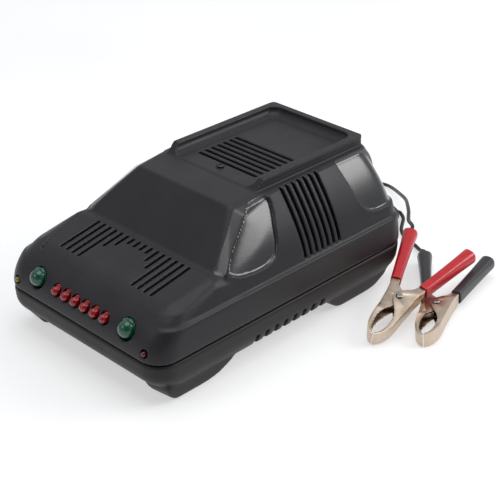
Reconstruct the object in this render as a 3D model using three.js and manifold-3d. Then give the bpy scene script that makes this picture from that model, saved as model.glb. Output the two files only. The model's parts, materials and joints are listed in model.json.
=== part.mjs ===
// A small car battery charger: a two-part moulded case shaped like a car, its transformer and
// electronics, ten indicator lamps, two output leads and two crocodile clamps.
// Millimetres, +Z up. X is the width and the front with the lamps faces -Y. Every size below is
// measured from the floor under the middle of the case; the whole group is moved at the end.
import * as THREE from 'three';
import { mergeVertices } from 'three/addons/utils/BufferGeometryUtils.js';
import { ConvexGeometry } from 'three/addons/geometries/ConvexGeometry.js';
import Module from 'manifold-3d';

const wasm = await Module();
wasm.setup();

// Case
const halfWidth = 65;
const halfLength = 100;
const cornerRadius = 13;
const seamZ = 27;
const beltZ = 44.5;
const wall = 2.4;
const gap = 0.3;
const floorZ = 8.4;
const deckFrontY = -79.4;
const deckFrontZ = 52.3;
const screenFootY = -47;
const screenFootZ = 57.6;
const screenTopY = -21.5;
const screenFootHalf = 50;
const ridgeZ = 82;
const trayFloorZ = 83.4;
const rimZ = 88.7;
const trayHalfWidth = 36.3;
const trayFrontY = 0;
const trayRearY = 88.8;
const rimWidth = 4;
const rampLength = 6;
const cabinCornerRadius = 11.5;
const windowDepth = 0.7;

// Vents
const deckSlotPitch = 4.96;
const deckSlotRearY = -51;
const deckSlotFrontYs = [-79.8, -79.8, -79.8, -79.8, -66, -61.5, -57, -57];
const traySlotPitch = 4.9;
const traySlotCount = 7;
const traySlotStartY = 13;
const traySlotHalf = 23.6;
const sideSlotPitch = 4.7;
const sideSlotCount = 7;
const sideSlotStartY = 13.5;
const baseVentPitch = 7.5;
const baseVentCount = 8;
const baseVentStartY = -27;

// Lamps
const lampRowZ = 38.3;
const lampPitch = 8;
const redLampCount = 6;
const faceY = -93.4;

// Fixings
const screwX = 38;
const screwFrontY = -77;
const screwRearY = 82;

// Output leads and their coils
const leadDiameter = 2.4;
const coilInner = 7.2;
const coilOuter = 19.2;
const coilHeight = 4.9;
const coilY = 142.5;
const glandX = -20;
const glandZ = 14;
const mainsZ = 17;
const glandEndY = 112.5;

// Clamps
const sheet = 0.8;
const handleLength = 57;
const handleSpread = 19.5;
const outerHalfHeight = 4.2;
const innerHalfHeight = 3.1;
const armHalfHeight = 3;
const sleeveBoreAcross = 2.5;
const sleeveBoreHeight = 3.65;
const springWire = 0.84;
const springTopZ = 1.6;
const springPitch = 1;

// Colour, roughness and metalness.
const colours = {
  case: ['#38373a', 0.5, 0],
  base: ['#3a3735', 0.55, 0],
  red: ['#9c0f18', 0.2, 0],
  darkRed: ['#6e1420', 0.25, 0],
  green: ['#0b6e4f', 0.2, 0],
  yellow: ['#82821e', 0.25, 0],
  board: ['#2f6b3a', 0.5, 0],
  copper: ['#b06a35', 0.35, 0.8],
  iron: ['#6f6e70', 0.5, 0.9],
  steel: ['#b5a792', 0.3, 1],
  zinc: ['#b9bcc0', 0.35, 1],
  rubber: ['#1c1c1e', 0.7, 0],
  redVinyl: ['#d6283e', 0.4, 0],
  blackVinyl: ['#323234', 0.4, 0],
  nylon: ['#d8d3c4', 0.6, 0],
  glass: ['#d8e2e2', 0.1, 0],
};

const charger = new THREE.Group();

// ---------------------------------------------------------------- helpers

function toSolid(geometry) {
  const bare = geometry.clone();
  for (const name of Object.keys(bare.attributes)) {
    if (name !== 'position') bare.deleteAttribute(name);
  }
  const merged = mergeVertices(bare, 1e-4);
  const mesh = new wasm.Mesh({
    numProp: 3,
    vertProperties: new Float32Array(merged.attributes.position.array),
    triVerts: new Uint32Array(merged.index.array),
  });
  return new wasm.Manifold(mesh);
}

function toGeometry(solid) {
  const mesh = solid.getMesh();
  const geometry = new THREE.BufferGeometry();
  geometry.setAttribute('position', new THREE.BufferAttribute(mesh.vertProperties, 3));
  geometry.setIndex(new THREE.BufferAttribute(mesh.triVerts, 1));
  geometry.computeVertexNormals();
  return geometry;
}

function addPart(name, shape, colour, parent = charger) {
  const geometry = shape.isBufferGeometry ? shape : toGeometry(shape);
  const [color, roughness, metalness] = colours[colour];
  const material = new THREE.MeshStandardMaterial({ color, roughness, metalness });
  const mesh = new THREE.Mesh(geometry, material);
  mesh.name = name;
  parent.add(mesh);
  return mesh;
}

function joined(solids) {
  return solids.reduce((sum, solid) => sum.add(solid));
}

function cutBy(solid, cutters) {
  return solid.subtract(joined(cutters));
}

function block(x0, x1, y0, y1, z0, z1) {
  const geometry = new THREE.BoxGeometry(x1 - x0, y1 - y0, z1 - z0);
  geometry.translate((x0 + x1) / 2, (y0 + y1) / 2, (z0 + z1) / 2);
  return toSolid(geometry);
}

// A round bar from z0 to z1 about a vertical line.
function post(x, y, z0, z1, radius, sides = 16) {
  const geometry = new THREE.CylinderGeometry(radius, radius, z1 - z0, sides);
  geometry.rotateX(Math.PI / 2);
  geometry.translate(x, y, (z0 + z1) / 2);
  return toSolid(geometry);
}

// A round bar from y0 to y1 about a line along the length.
function bar(x, z, y0, y1, radius, sides = 16) {
  const geometry = new THREE.CylinderGeometry(radius, radius, y1 - y0, sides);
  geometry.translate(x, (y0 + y1) / 2, z);
  return toSolid(geometry);
}

// A closed outline in the XY plane, drawn up from z0 to z1.
function plate(points, z0, z1) {
  const shape = new THREE.Shape(points.map(([x, y]) => new THREE.Vector2(x, y)));
  const geometry = new THREE.ExtrudeGeometry(shape, { depth: z1 - z0, bevelEnabled: false });
  geometry.translate(0, 0, z0);
  return toSolid(geometry);
}

function hull(points) {
  return toSolid(new ConvexGeometry(points.map(([x, y, z]) => new THREE.Vector3(x, y, z))));
}

// The points of a rectangle with round corners at height z.
function roundedRing(halfX, frontY, rearY, radius, z, steps = 4) {
  const points = [];
  const corners = [[1, 1, 0], [-1, 1, 1], [-1, -1, 2], [1, -1, 3]];
  for (const [sx, sy, quarter] of corners) {
    const cx = sx * (halfX - radius);
    const cy = sy > 0 ? rearY - radius : frontY + radius;
    for (let i = 0; i <= steps; i += 1) {
      const angle = (quarter + i / steps) * Math.PI / 2;
      points.push([cx + radius * Math.cos(angle), cy + radius * Math.sin(angle), z]);
    }
  }
  return points;
}

function bothSides(points) {
  return points.flatMap(([x, y, z]) => [[x, y, z], [-x, y, z]]);
}

// ---------------------------------------------------------------- case

// The outer form of the top cover, or its hollow when inset is the wall thickness.
function coverForm(inset) {
  const t = inset;
  const bottom = t > wall / 2 ? seamZ - 1 : seamZ;
  const skirt = hull([
    ...roundedRing(halfWidth - t, -halfLength + t, halfLength - t, cornerRadius - t, bottom),
    ...roundedRing(halfWidth - 0.4 - t, -96.2 + t, halfLength - 0.6 - t, cornerRadius - t, 38),
    ...roundedRing(halfWidth - 1 - t, -92.5 + t, halfLength - 1.5 - t, cornerRadius - t, beltZ - t),
  ]);
  const hood = hull([
    ...roundedRing(halfWidth - 3 - t, -92.5 + t, -30, cornerRadius - t, beltZ - t, 2),
    ...bothSides([
      [57.5 - t, -87 + t, 48.5 - t],
      [59.3 - t, -78 + t, 49 - t],
      [52 - t, deckFrontY + t, deckFrontZ - t],
      [59.6 - t, -30, 50 - t],
      [57.6 - t, -52, 55.6 - t],
      [52 - t, -52, screenFootZ - 0.3 - t],
      [52 - t, -30, screenFootZ - 0.3 - t],
    ]),
  ]);
  const cabinRing = (halfX, frontY, rearY, z) => (
    roundedRing(halfX - t, frontY + t, rearY - t, cabinCornerRadius - t, z - t, 3)
  );
  const cabin = hull([
    ...cabinRing(61.7, -62, 98, beltZ - 1),
    ...cabinRing(60.9, -40, 97.8, 49),
    ...cabinRing(58.2, -36, 97, 57.5),
    ...cabinRing(52.6, -24, 95.4, 69),
    ...cabinRing(46.2, -12, 93.2, 78),
    ...cabinRing(42, -4, 91, 82.2),
    ...bothSides([
      [screenFootHalf - t, screenFootY + t, screenFootZ - t],
      [57 - t, -43 + t, 57 - t],
      [33 - t, screenTopY + t, ridgeZ - t],
      [44.6 - t, -17.3 + t, 77.6 - t],
      [38.5 - t, -3, trayFloorZ - 0.6 - t],
      [38.5 - t, 86, trayFloorZ - 0.6 - t],
    ]),
  ]);
  return joined([skirt, hood, cabin]);
}

function rim() {
  const outline = new THREE.Shape();
  const w = trayHalfWidth;
  outline.moveTo(-w, trayFrontY);
  outline.lineTo(-w + rimWidth, trayFrontY);
  outline.lineTo(-w + rimWidth, trayRearY - rimWidth - 3);
  outline.quadraticCurveTo(-w + rimWidth, trayRearY - rimWidth, -w + rimWidth + 3, trayRearY - rimWidth);
  outline.lineTo(w - rimWidth - 3, trayRearY - rimWidth);
  outline.quadraticCurveTo(w - rimWidth, trayRearY - rimWidth, w - rimWidth, trayRearY - rimWidth - 3);
  outline.lineTo(w - rimWidth, trayFrontY);
  outline.lineTo(w, trayFrontY);
  outline.lineTo(w, trayRearY - 6);
  outline.quadraticCurveTo(w, trayRearY, w - 6, trayRearY);
  outline.lineTo(-w + 6, trayRearY);
  outline.quadraticCurveTo(-w, trayRearY, -w, trayRearY - 6);
  outline.closePath();
  const geometry = new THREE.ExtrudeGeometry(outline, {
    depth: rimZ - trayFloorZ + 3, bevelEnabled: false, curveSegments: 4,
  });
  geometry.translate(0, 0, trayFloorZ - 3);
  const rampTopY = trayFrontY + rampLength;
  const ramp = sideways([
    [-10, trayFloorZ - 0.2], [trayFrontY, trayFloorZ - 0.2], [rampTopY, rimZ + 0.1],
    [rampTopY, 100], [-10, 100],
  ], -50, 50);
  return toSolid(geometry).subtract(ramp);
}

function mirroredSlots(count, make) {
  return Array.from({ length: count }, (_, i) => [make(i, 1), make(i, -1)]).flat();
}

function deckSlots() {
  return mirroredSlots(deckSlotFrontYs.length, (i, side) => {
    const x = side * deckSlotPitch * (deckSlotFrontYs.length - 0.5 - i);
    return block(x - 1, x + 1, deckSlotFrontYs[i], deckSlotRearY, 44, 70);
  });
}

function traySlots() {
  return Array.from({ length: traySlotCount }, (_, i) => {
    const y = traySlotStartY + traySlotPitch * i;
    return block(-traySlotHalf, traySlotHalf, y - 1.1, y + 1.1, 74, rimZ);
  });
}

function sideSlots() {
  return mirroredSlots(sideSlotCount, (i, side) => {
    const y = sideSlotStartY + sideSlotPitch * i;
    const low = Math.min(side * 34, side * 70);
    return block(low, low + 36, y - 1.1, y + 1.1, 46, 82.6);
  });
}

// A closed outline in Y and Z, drawn along X from x0 to x1.
function sideways(points, x0, x1) {
  const shape = new THREE.Shape(points.map(([y, z]) => new THREE.Vector2(y, z)));
  const geometry = new THREE.ExtrudeGeometry(shape, { depth: x1 - x0, bevelEnabled: false });
  geometry.rotateX(Math.PI / 2);
  geometry.rotateZ(Math.PI / 2);
  geometry.translate(x0, 0, 0);
  return toSolid(geometry);
}

// Shallow recesses for the side windows, all cut to one depth.
function windowRecesses() {
  const front = [
    [-34.5, 55], [-28, 52.6], [-17, 52.4], [-9, 54.2], [-5.2, 58], [-1.2, 68], [2.2, 76.5], [1.5, 81],
    [-5, 81.5], [-14, 77.5],
  ];
  const rear = [[60, 81.2], [61.5, 71], [64, 61.5], [68.5, 55], [75, 52.6], [88.4, 52.4], [92, 81.2]];
  const prisms = [front, rear].flatMap((outline) => [sideways(outline, 30, 70), sideways(outline, -70, -30)]);
  return joined(prisms).subtract(coverForm(windowDepth));
}

// Every lamp: name, colour, x, z, bulb radius and how far its tip stands in front.
const lamps = [
  ['lamp_yellow', 'yellow', -53, 32.4, 1.5, -100.4],
  ['lamp_green_left', 'green', -37, 39, 5, -101],
  ...Array.from({ length: redLampCount }, (_, i) => (
    [`lamp_red_${i + 1}`, 'red', lampPitch * (i - (redLampCount - 1) / 2), lampRowZ, 2.5, -100.2])),
  ['lamp_green_right', 'green', 37, 39, 5, -101],
  ['lamp_dark_red', 'darkRed', 53, 32.4, 1.5, -100.4],
];

function makeCover() {
  const hollow = cutBy(coverForm(wall), [block(-80, 80, -120, 120, 0, seamZ - 0.9)]);
  const tray = block(-trayHalfWidth, trayHalfWidth, 0, trayRearY, ridgeZ - 3, trayFloorZ);
  let shell = joined([coverForm(0), tray, rim()]).subtract(hollow);
  const posts = [];
  const pilots = [];
  for (const x of [-screwX, screwX]) {
    posts.push(post(x, screwFrontY, 25, 51, 4));
    posts.push(post(x, screwRearY, 25, 81, 4));
    pilots.push(post(x, screwFrontY, 20, 42, 1.75, 10));
    pilots.push(post(x, screwRearY, 20, 42, 1.75, 10));
  }
  posts.push(post(0, 7.6, 72, 82, 3.4));
  const sockets = lamps.flatMap(([, , x, z, radius]) => [
    bar(x, z, -120, faceY - 0.3, radius + 1.1, radius > 4 ? 20 : 14),
    bar(x, z, -95, -80, radius + gap, radius > 4 ? 20 : 14),
  ]);
  shell = joined([shell, ...posts]);
  return cutBy(shell, [
    windowRecesses(), ...deckSlots(), ...traySlots(), ...sideSlots(), ...pilots, ...sockets,
    post(0, 7.6, 74, 90, 1.6, 10),
  ]);
}

// A foot: a flat pad that sweeps up into the underside before and behind it.
function foot(side, padFrontY, padRearY, topFrontY, topRearY) {
  const ring = (z, inX, outX, frontY, rearY) => {
    const corners = [[inX, frontY], [outX, frontY + 1.5], [inX, rearY], [outX, rearY - 1.5]];
    return corners.map(([x, y]) => [side * x, y, z]);
  };
  const rise = topRearY - padRearY;
  const front = padFrontY - topFrontY;
  return hull([
    ...ring(0, 47, 59, padFrontY, padRearY),
    ...ring(1.2, 46, 60.6, padFrontY - front * 0.3, padRearY + rise * 0.3),
    ...ring(4, 45, 61.6, padFrontY - front * 0.65, padRearY + rise * 0.62),
    ...ring(10, 43, 61.8, topFrontY, topRearY),
  ]);
}

function baseForm(inset, topZ) {
  const t = inset;
  return hull([
    ...roundedRing(halfWidth - t, -halfLength + t, halfLength - t, cornerRadius - t, topZ),
    ...roundedRing(halfWidth - 0.8 - t, -97.3 + t, 98.5 - t, cornerRadius - t, 18 + t),
    ...roundedRing(halfWidth - 2.6 - t, -92 + t, 93 - t, 14 - t, 10.4 + t),
    ...roundedRing(halfWidth - 4 - t, -89 + t, 90 - t, 14 - t, floorZ + t),
  ]);
}

function makeBase() {
  const topZ = seamZ - gap;
  const feet = [-1, 1].flatMap((side) => [
    foot(side, -84, -64, -90, -44),
    foot(side, 46, 70, 37, 84),
  ]);
  const glandPad = joined([
    block(glandX - 8, glandX + 8, 92, 100.4, 8.4, seamZ - gap),
    block(17, 33, 92, 100.4, 8.4, seamZ - gap),
  ]);
  let tub = joined([baseForm(0, topZ), ...feet, glandPad]);
  tub = tub.subtract(cutBy(baseForm(wall, topZ + 1), [block(-80, 80, -120, 120, 0, floorZ + wall - 0.01)]));
  const bosses = [];
  const holes = [];
  for (const x of [-screwX, screwX]) {
    for (const y of [screwFrontY, screwRearY]) {
      bosses.push(post(x, y, floorZ, 24.6, 5));
      holes.push(post(x, y, 5, 14, 3.5));
      holes.push(post(x, y, 13, 30, 1.75, 10));
    }
  }
  tub = joined([tub, ...bosses]);
  const vents = mirroredSlots(baseVentCount, (i, side) => {
    const y = baseVentStartY + baseVentPitch * i;
    const low = Math.min(side * 58, side * 70);
    return block(low, low + 12, y - 1.6, y + 1.6, 4, 16.4);
  });
  return cutBy(tub, [
    ...vents, ...holes,
    block(glandX - 4.6, glandX + 4.6, 80, 110, glandZ - 2.9, glandZ + 2.9),
    bar(25, mainsZ, 80, 110, 5.1),
  ]);
}

// ---------------------------------------------------------------- fixings and lamps

function screw(headRadius, headHeight, shaftRadius, length) {
  const profile = [
    [0, -length], [shaftRadius * 0.5, -length], [shaftRadius, -length + 2], [shaftRadius, 0],
    [headRadius, 0], [headRadius, headHeight * 0.5], [headRadius * 0.7, headHeight], [0, headHeight],
  ].map(([r, y]) => new THREE.Vector2(r, y));
  const geometry = new THREE.LatheGeometry(profile, 12);
  geometry.rotateX(Math.PI / 2);
  return geometry;
}

// A lamp lying along -Y: domed bulb, flange against the case and two pins to its board.
function lamp(radius, tipY, x, z) {
  const flangeY = faceY - 0.6;
  const domeY = tipY + radius;
  const points = [new THREE.Vector2(0, -tipY)];
  for (let i = 1; i <= 4; i += 1) {
    const angle = (i / 4) * Math.PI / 2;
    points.push(new THREE.Vector2(radius * Math.sin(angle), -domeY + radius * Math.cos(angle)));
  }
  const flange = radius + Math.min(0.5, radius * 0.25);
  const rearY = -88.5;
  for (const [r, y] of [
    [radius, flangeY - 1], [flange, flangeY - 1], [flange, flangeY], [radius - 0.05, flangeY],
    [radius - 0.05, rearY], [0, rearY],
  ]) {
    points.push(new THREE.Vector2(r, -y));
  }
  const geometry = new THREE.LatheGeometry(points.reverse(), radius > 4 ? 20 : 14);
  geometry.rotateX(Math.PI);
  geometry.translate(x, 0, z);
  const pin = radius * 0.5;
  return joined([
    toSolid(geometry),
    block(x - pin - 0.25, x - pin + 0.25, rearY - 1, -86.4, z - 0.25, z + 0.25),
    block(x + pin - 0.25, x + pin + 0.25, rearY - 1, -86.4, z - 0.25, z + 0.25),
  ]);
}

function addCase() {
  addPart('top_cover', makeCover(), 'case');
  addPart('base_tub', makeBase(), 'base');
  const trayScrew = addPart('tray_screw', screw(2.2, 1.3, 1.3, 8), 'zinc');
  trayScrew.position.set(0, 7.6, trayFloorZ + gap);
  let number = 1;
  for (const y of [screwFrontY, screwRearY]) {
    for (const x of [-screwX, screwX]) {
      const part = addPart(`base_screw_${number}`, screw(3, 2, 1.35, 22), 'zinc');
      part.position.set(x, y, 13.7);
      part.rotation.x = Math.PI;
      number += 1;
    }
  }
  for (const [name, colour, x, z, radius, tipY] of lamps) {
    addPart(name, lamp(radius, tipY, x, z), colour);
  }
}

// ---------------------------------------------------------------- electronics

function addElectronics() {
  addPart('lamp_board', block(-56, 56, -86, -84.4, 29, 42), 'board');
  const boardTop = 16.6;
  const pillars = [-24, 24].flatMap((x) => [-66, -18].map((y) => post(x, y, 11.1, 15.2, 3, 10)));
  addPart('main_board', joined([block(-50, 50, -71, -12, 15, boardTop), ...pillars]), 'board');

  const finX = (i) => -44 + i * 3.4;
  const fins = Array.from({ length: 6 }, (_, i) => block(finX(i), finX(i) + 1.2, -66, -30, 20, 40));
  addPart('heat_sink', joined([block(-44.2, -25.6, -66, -30, boardTop + gap, 20.5), ...fins]), 'zinc');

  const rectifier = (y) => joined([
    block(-24.9, -20.9, y - 5, y + 5, 19, 28),
    block(-24.9, -23.7, y - 5, y + 5, 27, 34),
    block(-23.2, -22.6, y - 3, y + 3, boardTop + gap, 20),
  ]);
  addPart('rectifier_1', rectifier(-57), 'rubber');
  addPart('rectifier_2', rectifier(-40), 'rubber');

  addPart('capacitor', post(-4, -40, boardTop + gap, 42, 8, 20), 'rubber');
  addPart('relay', block(10, 30, -66, -50, boardTop + gap, 32), 'nylon');
  const clips = joined([
    block(10, 32, -38, -32, boardTop + gap, 18.4),
    block(10, 12.4, -38, -32, 18, 24), block(29.6, 32, -38, -32, 18, 24),
  ]);
  addPart('fuse_holder', clips, 'zinc');
  const fuse = new THREE.CylinderGeometry(2.6, 2.6, 16, 14);
  fuse.rotateZ(Math.PI / 2);
  fuse.translate(21, -35, 22);
  addPart('fuse', fuse, 'glass');
}

function addTransformer() {
  const core = block(-36, 36, 22, 60, 14, 74);
  const windows = [block(-25, -13, 10, 70, 26, 62), block(13, 25, 10, 70, 26, 62)];
  addPart('transformer_core', cutBy(core, windows), 'iron');
  const limb = block(-12.7 - gap, 12.7 + gap, 21.7, 60.3, 0, 100);
  const flanges = joined([block(-24.4, 24.4, 12, 70, 26.3, 28), block(-24.4, 24.4, 12, 70, 60, 61.7)]);
  addPart('transformer_bobbin', cutBy(
    joined([flanges, block(-14.6, 14.6, 19.8, 62.2, 27, 61)]), [limb]), 'nylon');
  const bobbinTube = block(-14.9, 14.9, 19.5, 62.5, 0, 100);
  addPart('transformer_winding', cutBy(block(-23.5, 23.5, 13, 69, 28.3, 59.7), [bobbinTube]), 'copper');

  const strap = joined([
    block(-38, 38, 35, 47, 74.3, 75.5),
    block(-38, -36.3, 35, 47, 11.4, 75.5), block(36.3, 38, 35, 47, 11.4, 75.5),
    block(-49, -36.3, 35, 47, 11.1, 12.6), block(36.3, 49, 35, 47, 11.1, 12.6),
  ]);
  const strapHoles = [-44, 44].map((x) => post(x, 41, 5, 20, 1.9, 10));
  addPart('transformer_strap', cutBy(strap, strapHoles), 'zinc');
  for (const [name, x] of [['strap_screw_1', -44], ['strap_screw_2', 44]]) {
    const part = addPart(name, screw(3.2, 2, 1.5, 1.7), 'zinc');
    part.position.set(x, 41, 12.9);
  }
}

// ---------------------------------------------------------------- output leads

function addGlands() {
  const ring = (halfX, halfZ, y) => {
    const points = [];
    for (let i = 0; i < 16; i += 1) {
      const angle = (i / 16) * Math.PI * 2;
      const offset = Math.sign(Math.round(Math.cos(angle) * 100)) * (halfX - halfZ);
      points.push([glandX + offset + halfZ * Math.cos(angle), y, glandZ + halfZ * Math.sin(angle)]);
    }
    return points;
  };
  addPart('lead_gland', joined([
    hull([...ring(4.3, 2.6, 96), ...ring(4.3, 2.6, 101.5)]),
    hull([...ring(6.4, 4.4, 100.7), ...ring(6.2, 4.2, 102.2)]),
    hull([...ring(4.7, 2.9, 101.5), ...ring(3.7, 1.9, glandEndY)]),
  ]), 'rubber');
  const grommet = [[3.3, 96], [4.7, 96], [4.7, 100.7], [7, 100.7], [7, 102], [6, 103], [3.3, 103]]
    .map(([r, y]) => new THREE.Vector2(r, y));
  grommet.push(grommet[0].clone());
  const geometry = new THREE.LatheGeometry(grommet, 20);
  geometry.translate(25, 0, mainsZ);
  addPart('mains_grommet', geometry, 'rubber');
}

function leadTube(name, route, steps) {
  const points = route.map(([x, y, z]) => new THREE.Vector3(x, y, z));
  const curve = new THREE.CatmullRomCurve3(points, false, 'centripetal');
  const section = new THREE.Shape();
  for (let i = 0; i < 8; i += 1) {
    const angle = (i / 8) * Math.PI * 2;
    const x = (leadDiameter / 2) * Math.cos(angle);
    const y = (leadDiameter / 2) * Math.sin(angle);
    if (i === 0) section.moveTo(x, y);
    else section.lineTo(x, y);
  }
  section.closePath();
  const tube = new THREE.ExtrudeGeometry(section, { steps, extrudePath: curve, bevelEnabled: false });
  addPart(name, tube, 'rubber');
}

function leadCoil(name, x) {
  const profile = [
    [coilInner, 0], [coilOuter, 0], [coilOuter, coilHeight], [coilInner, coilHeight], [coilInner, 0],
  ].map(([r, z]) => new THREE.Vector2(r, z));
  const geometry = new THREE.LatheGeometry(profile, 36);
  geometry.rotateX(Math.PI / 2);
  geometry.translate(x, coilY, 0.1);
  addPart(name, geometry, 'rubber');
}

const redCoilX = glandX - 20;
const blackCoilX = glandX + 20;

// From the gland down to the top of each coil, as distances from the gland's end and heights.
const innerRoute = [
  [112.8, 14], [115.6, 14], [118.85, 13.43], [121.7, 11.78], [123.75, 9], [125.8, 5.95], [128.65, 4.27],
  [131.9, 3.7],
];
// From the foot of each coil, round behind the case, to the end of its clamp's handle.
const redOuterRoute = [
  [-22, 153, 1.25], [-24, 159.5, 1.25], [-30, 166, 1.25], [-34, 173, 1.25], [-33.5, 180, 1.25],
  [-28, 185, 1.3], [-20, 185.6, 2.3], [-10, 180.5, 4.9], [0, 173, 8.3], [10, 165, 11.9],
  [20, 156, 15.6], [29, 146, 18.8], [38, 135.5, 21.4], [47.2, 123.8, 22.9],
];
const blackOuterRoute = [
  [10.5, 160.5, 1.25], [17, 156, 1.25], [22, 149, 1.25], [27, 142.5, 1.25], [33, 138, 1.25],
  [40, 135.4, 1.25], [47.5, 132.5, 1.5], [54, 128.8, 2.4],
];

function addLeads(redEnds, blackEnds) {
  addGlands();
  leadTube('red_lead_inner', innerRoute.map(([y, z]) => [glandX - 2, y, z]), 10);
  leadCoil('red_lead_coil', redCoilX);
  leadTube('red_lead_outer', [...redOuterRoute, ...redEnds], 32);
  leadTube('black_lead_inner', innerRoute.map(([y, z]) => [glandX + 2, y, z]), 10);
  leadCoil('black_lead_coil', blackCoilX);
  leadTube('black_lead_outer', [...blackOuterRoute, ...blackEnds], 18);
}

// ---------------------------------------------------------------- clamps

// One half of a clamp in its own plane: +X to the jaw tip, the pivot at the origin.
// The half on the +Y side is drawn, and the other is its mirror image.
const outerEdge = [
  [-54, 20.4], [-12.7, 10.2], [-12.2, 10.7], [-8, 9.9], [-2, 9], [5, 8.4], [13, 7.7], [20, 7.4],
  [25.5, 6.7], [30, 5.3], [33.5, 3], [35.4, 0.3],
];
const innerEdge = [
  [34.2, 0.3], [31, 2.7], [26, 4.2], [18, 4.3], [12.7, 2.9], [2, -3.2], [-1.4, -3.4], [-3.6, -2.4],
  [-5, -0.6], [-9.3, 4.4], [-13.3, 5.9], [-14, 7.1], [-54, 17],
];

function insetEdge(points, distance) {
  return points.map(([x, y], i) => {
    const [x0, y0] = points[Math.max(i - 1, 0)];
    const [x1, y1] = points[Math.min(i + 1, points.length - 1)];
    const length = Math.hypot(x1 - x0, y1 - y0);
    return [x + distance * (y1 - y0) / length, y - distance * (x1 - x0) / length];
  });
}

// Everything between two heights that fall from the jaw to the handle.
function heightBand(jawHalf, pivotHalf, armHalf) {
  const profile = [
    [-60, -armHalf], [-13.5, -armHalf], [-7, -pivotHalf], [9, -pivotHalf], [14, -jawHalf], [40, -jawHalf],
    [40, jawHalf], [14, jawHalf], [9, pivotHalf], [-7, pivotHalf], [-13.5, armHalf], [-60, armHalf],
  ];
  const shape = new THREE.Shape(profile.map(([x, z]) => new THREE.Vector2(x, z)));
  const geometry = new THREE.ExtrudeGeometry(shape, { depth: 80, bevelEnabled: false });
  geometry.translate(0, 0, -40);
  geometry.rotateX(Math.PI / 2);
  return toSolid(geometry);
}

function halfClamp(jawHalf, pivotHalf, armHalf) {
  const outline = plate([...outerEdge, ...innerEdge], -10, 10);
  const hollowEdge = insetEdge(outerEdge, sheet);
  hollowEdge[hollowEdge.length - 1] = [34.4, 0.2];
  const hollow = plate([
    ...hollowEdge, [34.4, -6], [-60, -6], [-60, hollowEdge[0][1]],
  ], -10, 10).intersect(heightBand(jawHalf - sheet, pivotHalf - sheet, armHalf - sheet));
  return outline.intersect(heightBand(jawHalf, pivotHalf, armHalf)).subtract(hollow)
    .subtract(post(0, 0, -10, 10, 1.75, 12));
}

// A skin through rings of equally many points, closed by a fan at each end.
function loft(rings) {
  const count = rings[0].length;
  const positions = rings.flat(2);
  const index = [];
  for (let r = 0; r + 1 < rings.length; r += 1) {
    for (let i = 0; i < count; i += 1) {
      const a = r * count + i;
      const b = r * count + (i + 1) % count;
      index.push(a, b + count, b, a, a + count, b + count);
    }
  }
  const last = (rings.length - 1) * count;
  for (let i = 1; i + 1 < count; i += 1) {
    index.push(0, i, i + 1, last, last + i + 1, last + i);
  }
  const geometry = new THREE.BufferGeometry();
  geometry.setAttribute('position', new THREE.Float32BufferAttribute(positions, 3));
  geometry.setIndex(index);
  return toSolid(geometry);
}

// The vinyl sleeve on a handle: a soft-cornered tube, open towards the jaw, wider at its far end.
function sleeve() {
  const section = (x, y, halfAcross, halfHeight) => {
    const points = [];
    for (let i = 0; i < 12; i += 1) {
      const angle = (i / 12) * Math.PI * 2;
      const across = halfAcross * Math.sign(Math.cos(angle)) * Math.abs(Math.cos(angle)) ** 0.5;
      const up = halfHeight * Math.sign(Math.sin(angle)) * Math.abs(Math.sin(angle)) ** 0.5;
      points.push([x + across * 0.24, y + across * 0.97, up]);
    }
    return points;
  };
  return loft([
    section(-54.8, 18.9, sleeveBoreAcross, sleeveBoreHeight),
    section(-13.6, 8.7, sleeveBoreAcross, sleeveBoreHeight),
    section(-13.6, 8.7, 3.1, 4.2),
    section(-46, 16.8, 3.7, 4.3),
    section(-handleLength, handleSpread, 4.6, 4.6),
  ]);
}

function mirrored(solid) {
  const geometry = toGeometry(solid);
  geometry.scale(1, -1, 1);
  const index = geometry.index.array;
  for (let i = 0; i < index.length; i += 3) {
    [index[i], index[i + 1]] = [index[i + 1], index[i]];
  }
  return toSolid(geometry);
}

function rivet() {
  const profile = [
    [0, -5.1], [1.6, -4.9], [2.1, -4.5], [1.4, -4.5], [1.4, 4.5], [2.1, 4.5], [1.6, 4.9], [0, 5.1],
  ].map(([r, y]) => new THREE.Vector2(r, y));
  const geometry = new THREE.LatheGeometry(profile, 14);
  geometry.rotateX(Math.PI / 2);
  return geometry;
}

// The moving leg of the torsion spring with the turn of its coil that follows it. The other leg
// and turn are the same wire turned over, so the two halves of the coil lie one above the other.
function springHalf() {
  const radius = 2.5;
  const steps = 16;
  const points = [new THREE.Vector3(-12.6, 8.2, springTopZ), new THREE.Vector3(-6, 4.9, springTopZ)];
  for (let i = 0; i <= steps; i += 1) {
    const angle = Math.PI * (0.52 - (2 * i) / steps);
    const z = springTopZ - springPitch * (i / steps);
    points.push(new THREE.Vector3(radius * Math.cos(angle), radius * Math.sin(angle), z));
  }
  const curve = new THREE.CatmullRomCurve3(points, false, 'centripetal');
  const section = new THREE.Shape();
  section.absarc(0, 0, springWire / 2, 0, Math.PI * 2);
  return new THREE.ExtrudeGeometry(section, {
    steps: 30, extrudePath: curve, bevelEnabled: false, curveSegments: 3,
  });
}

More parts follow.
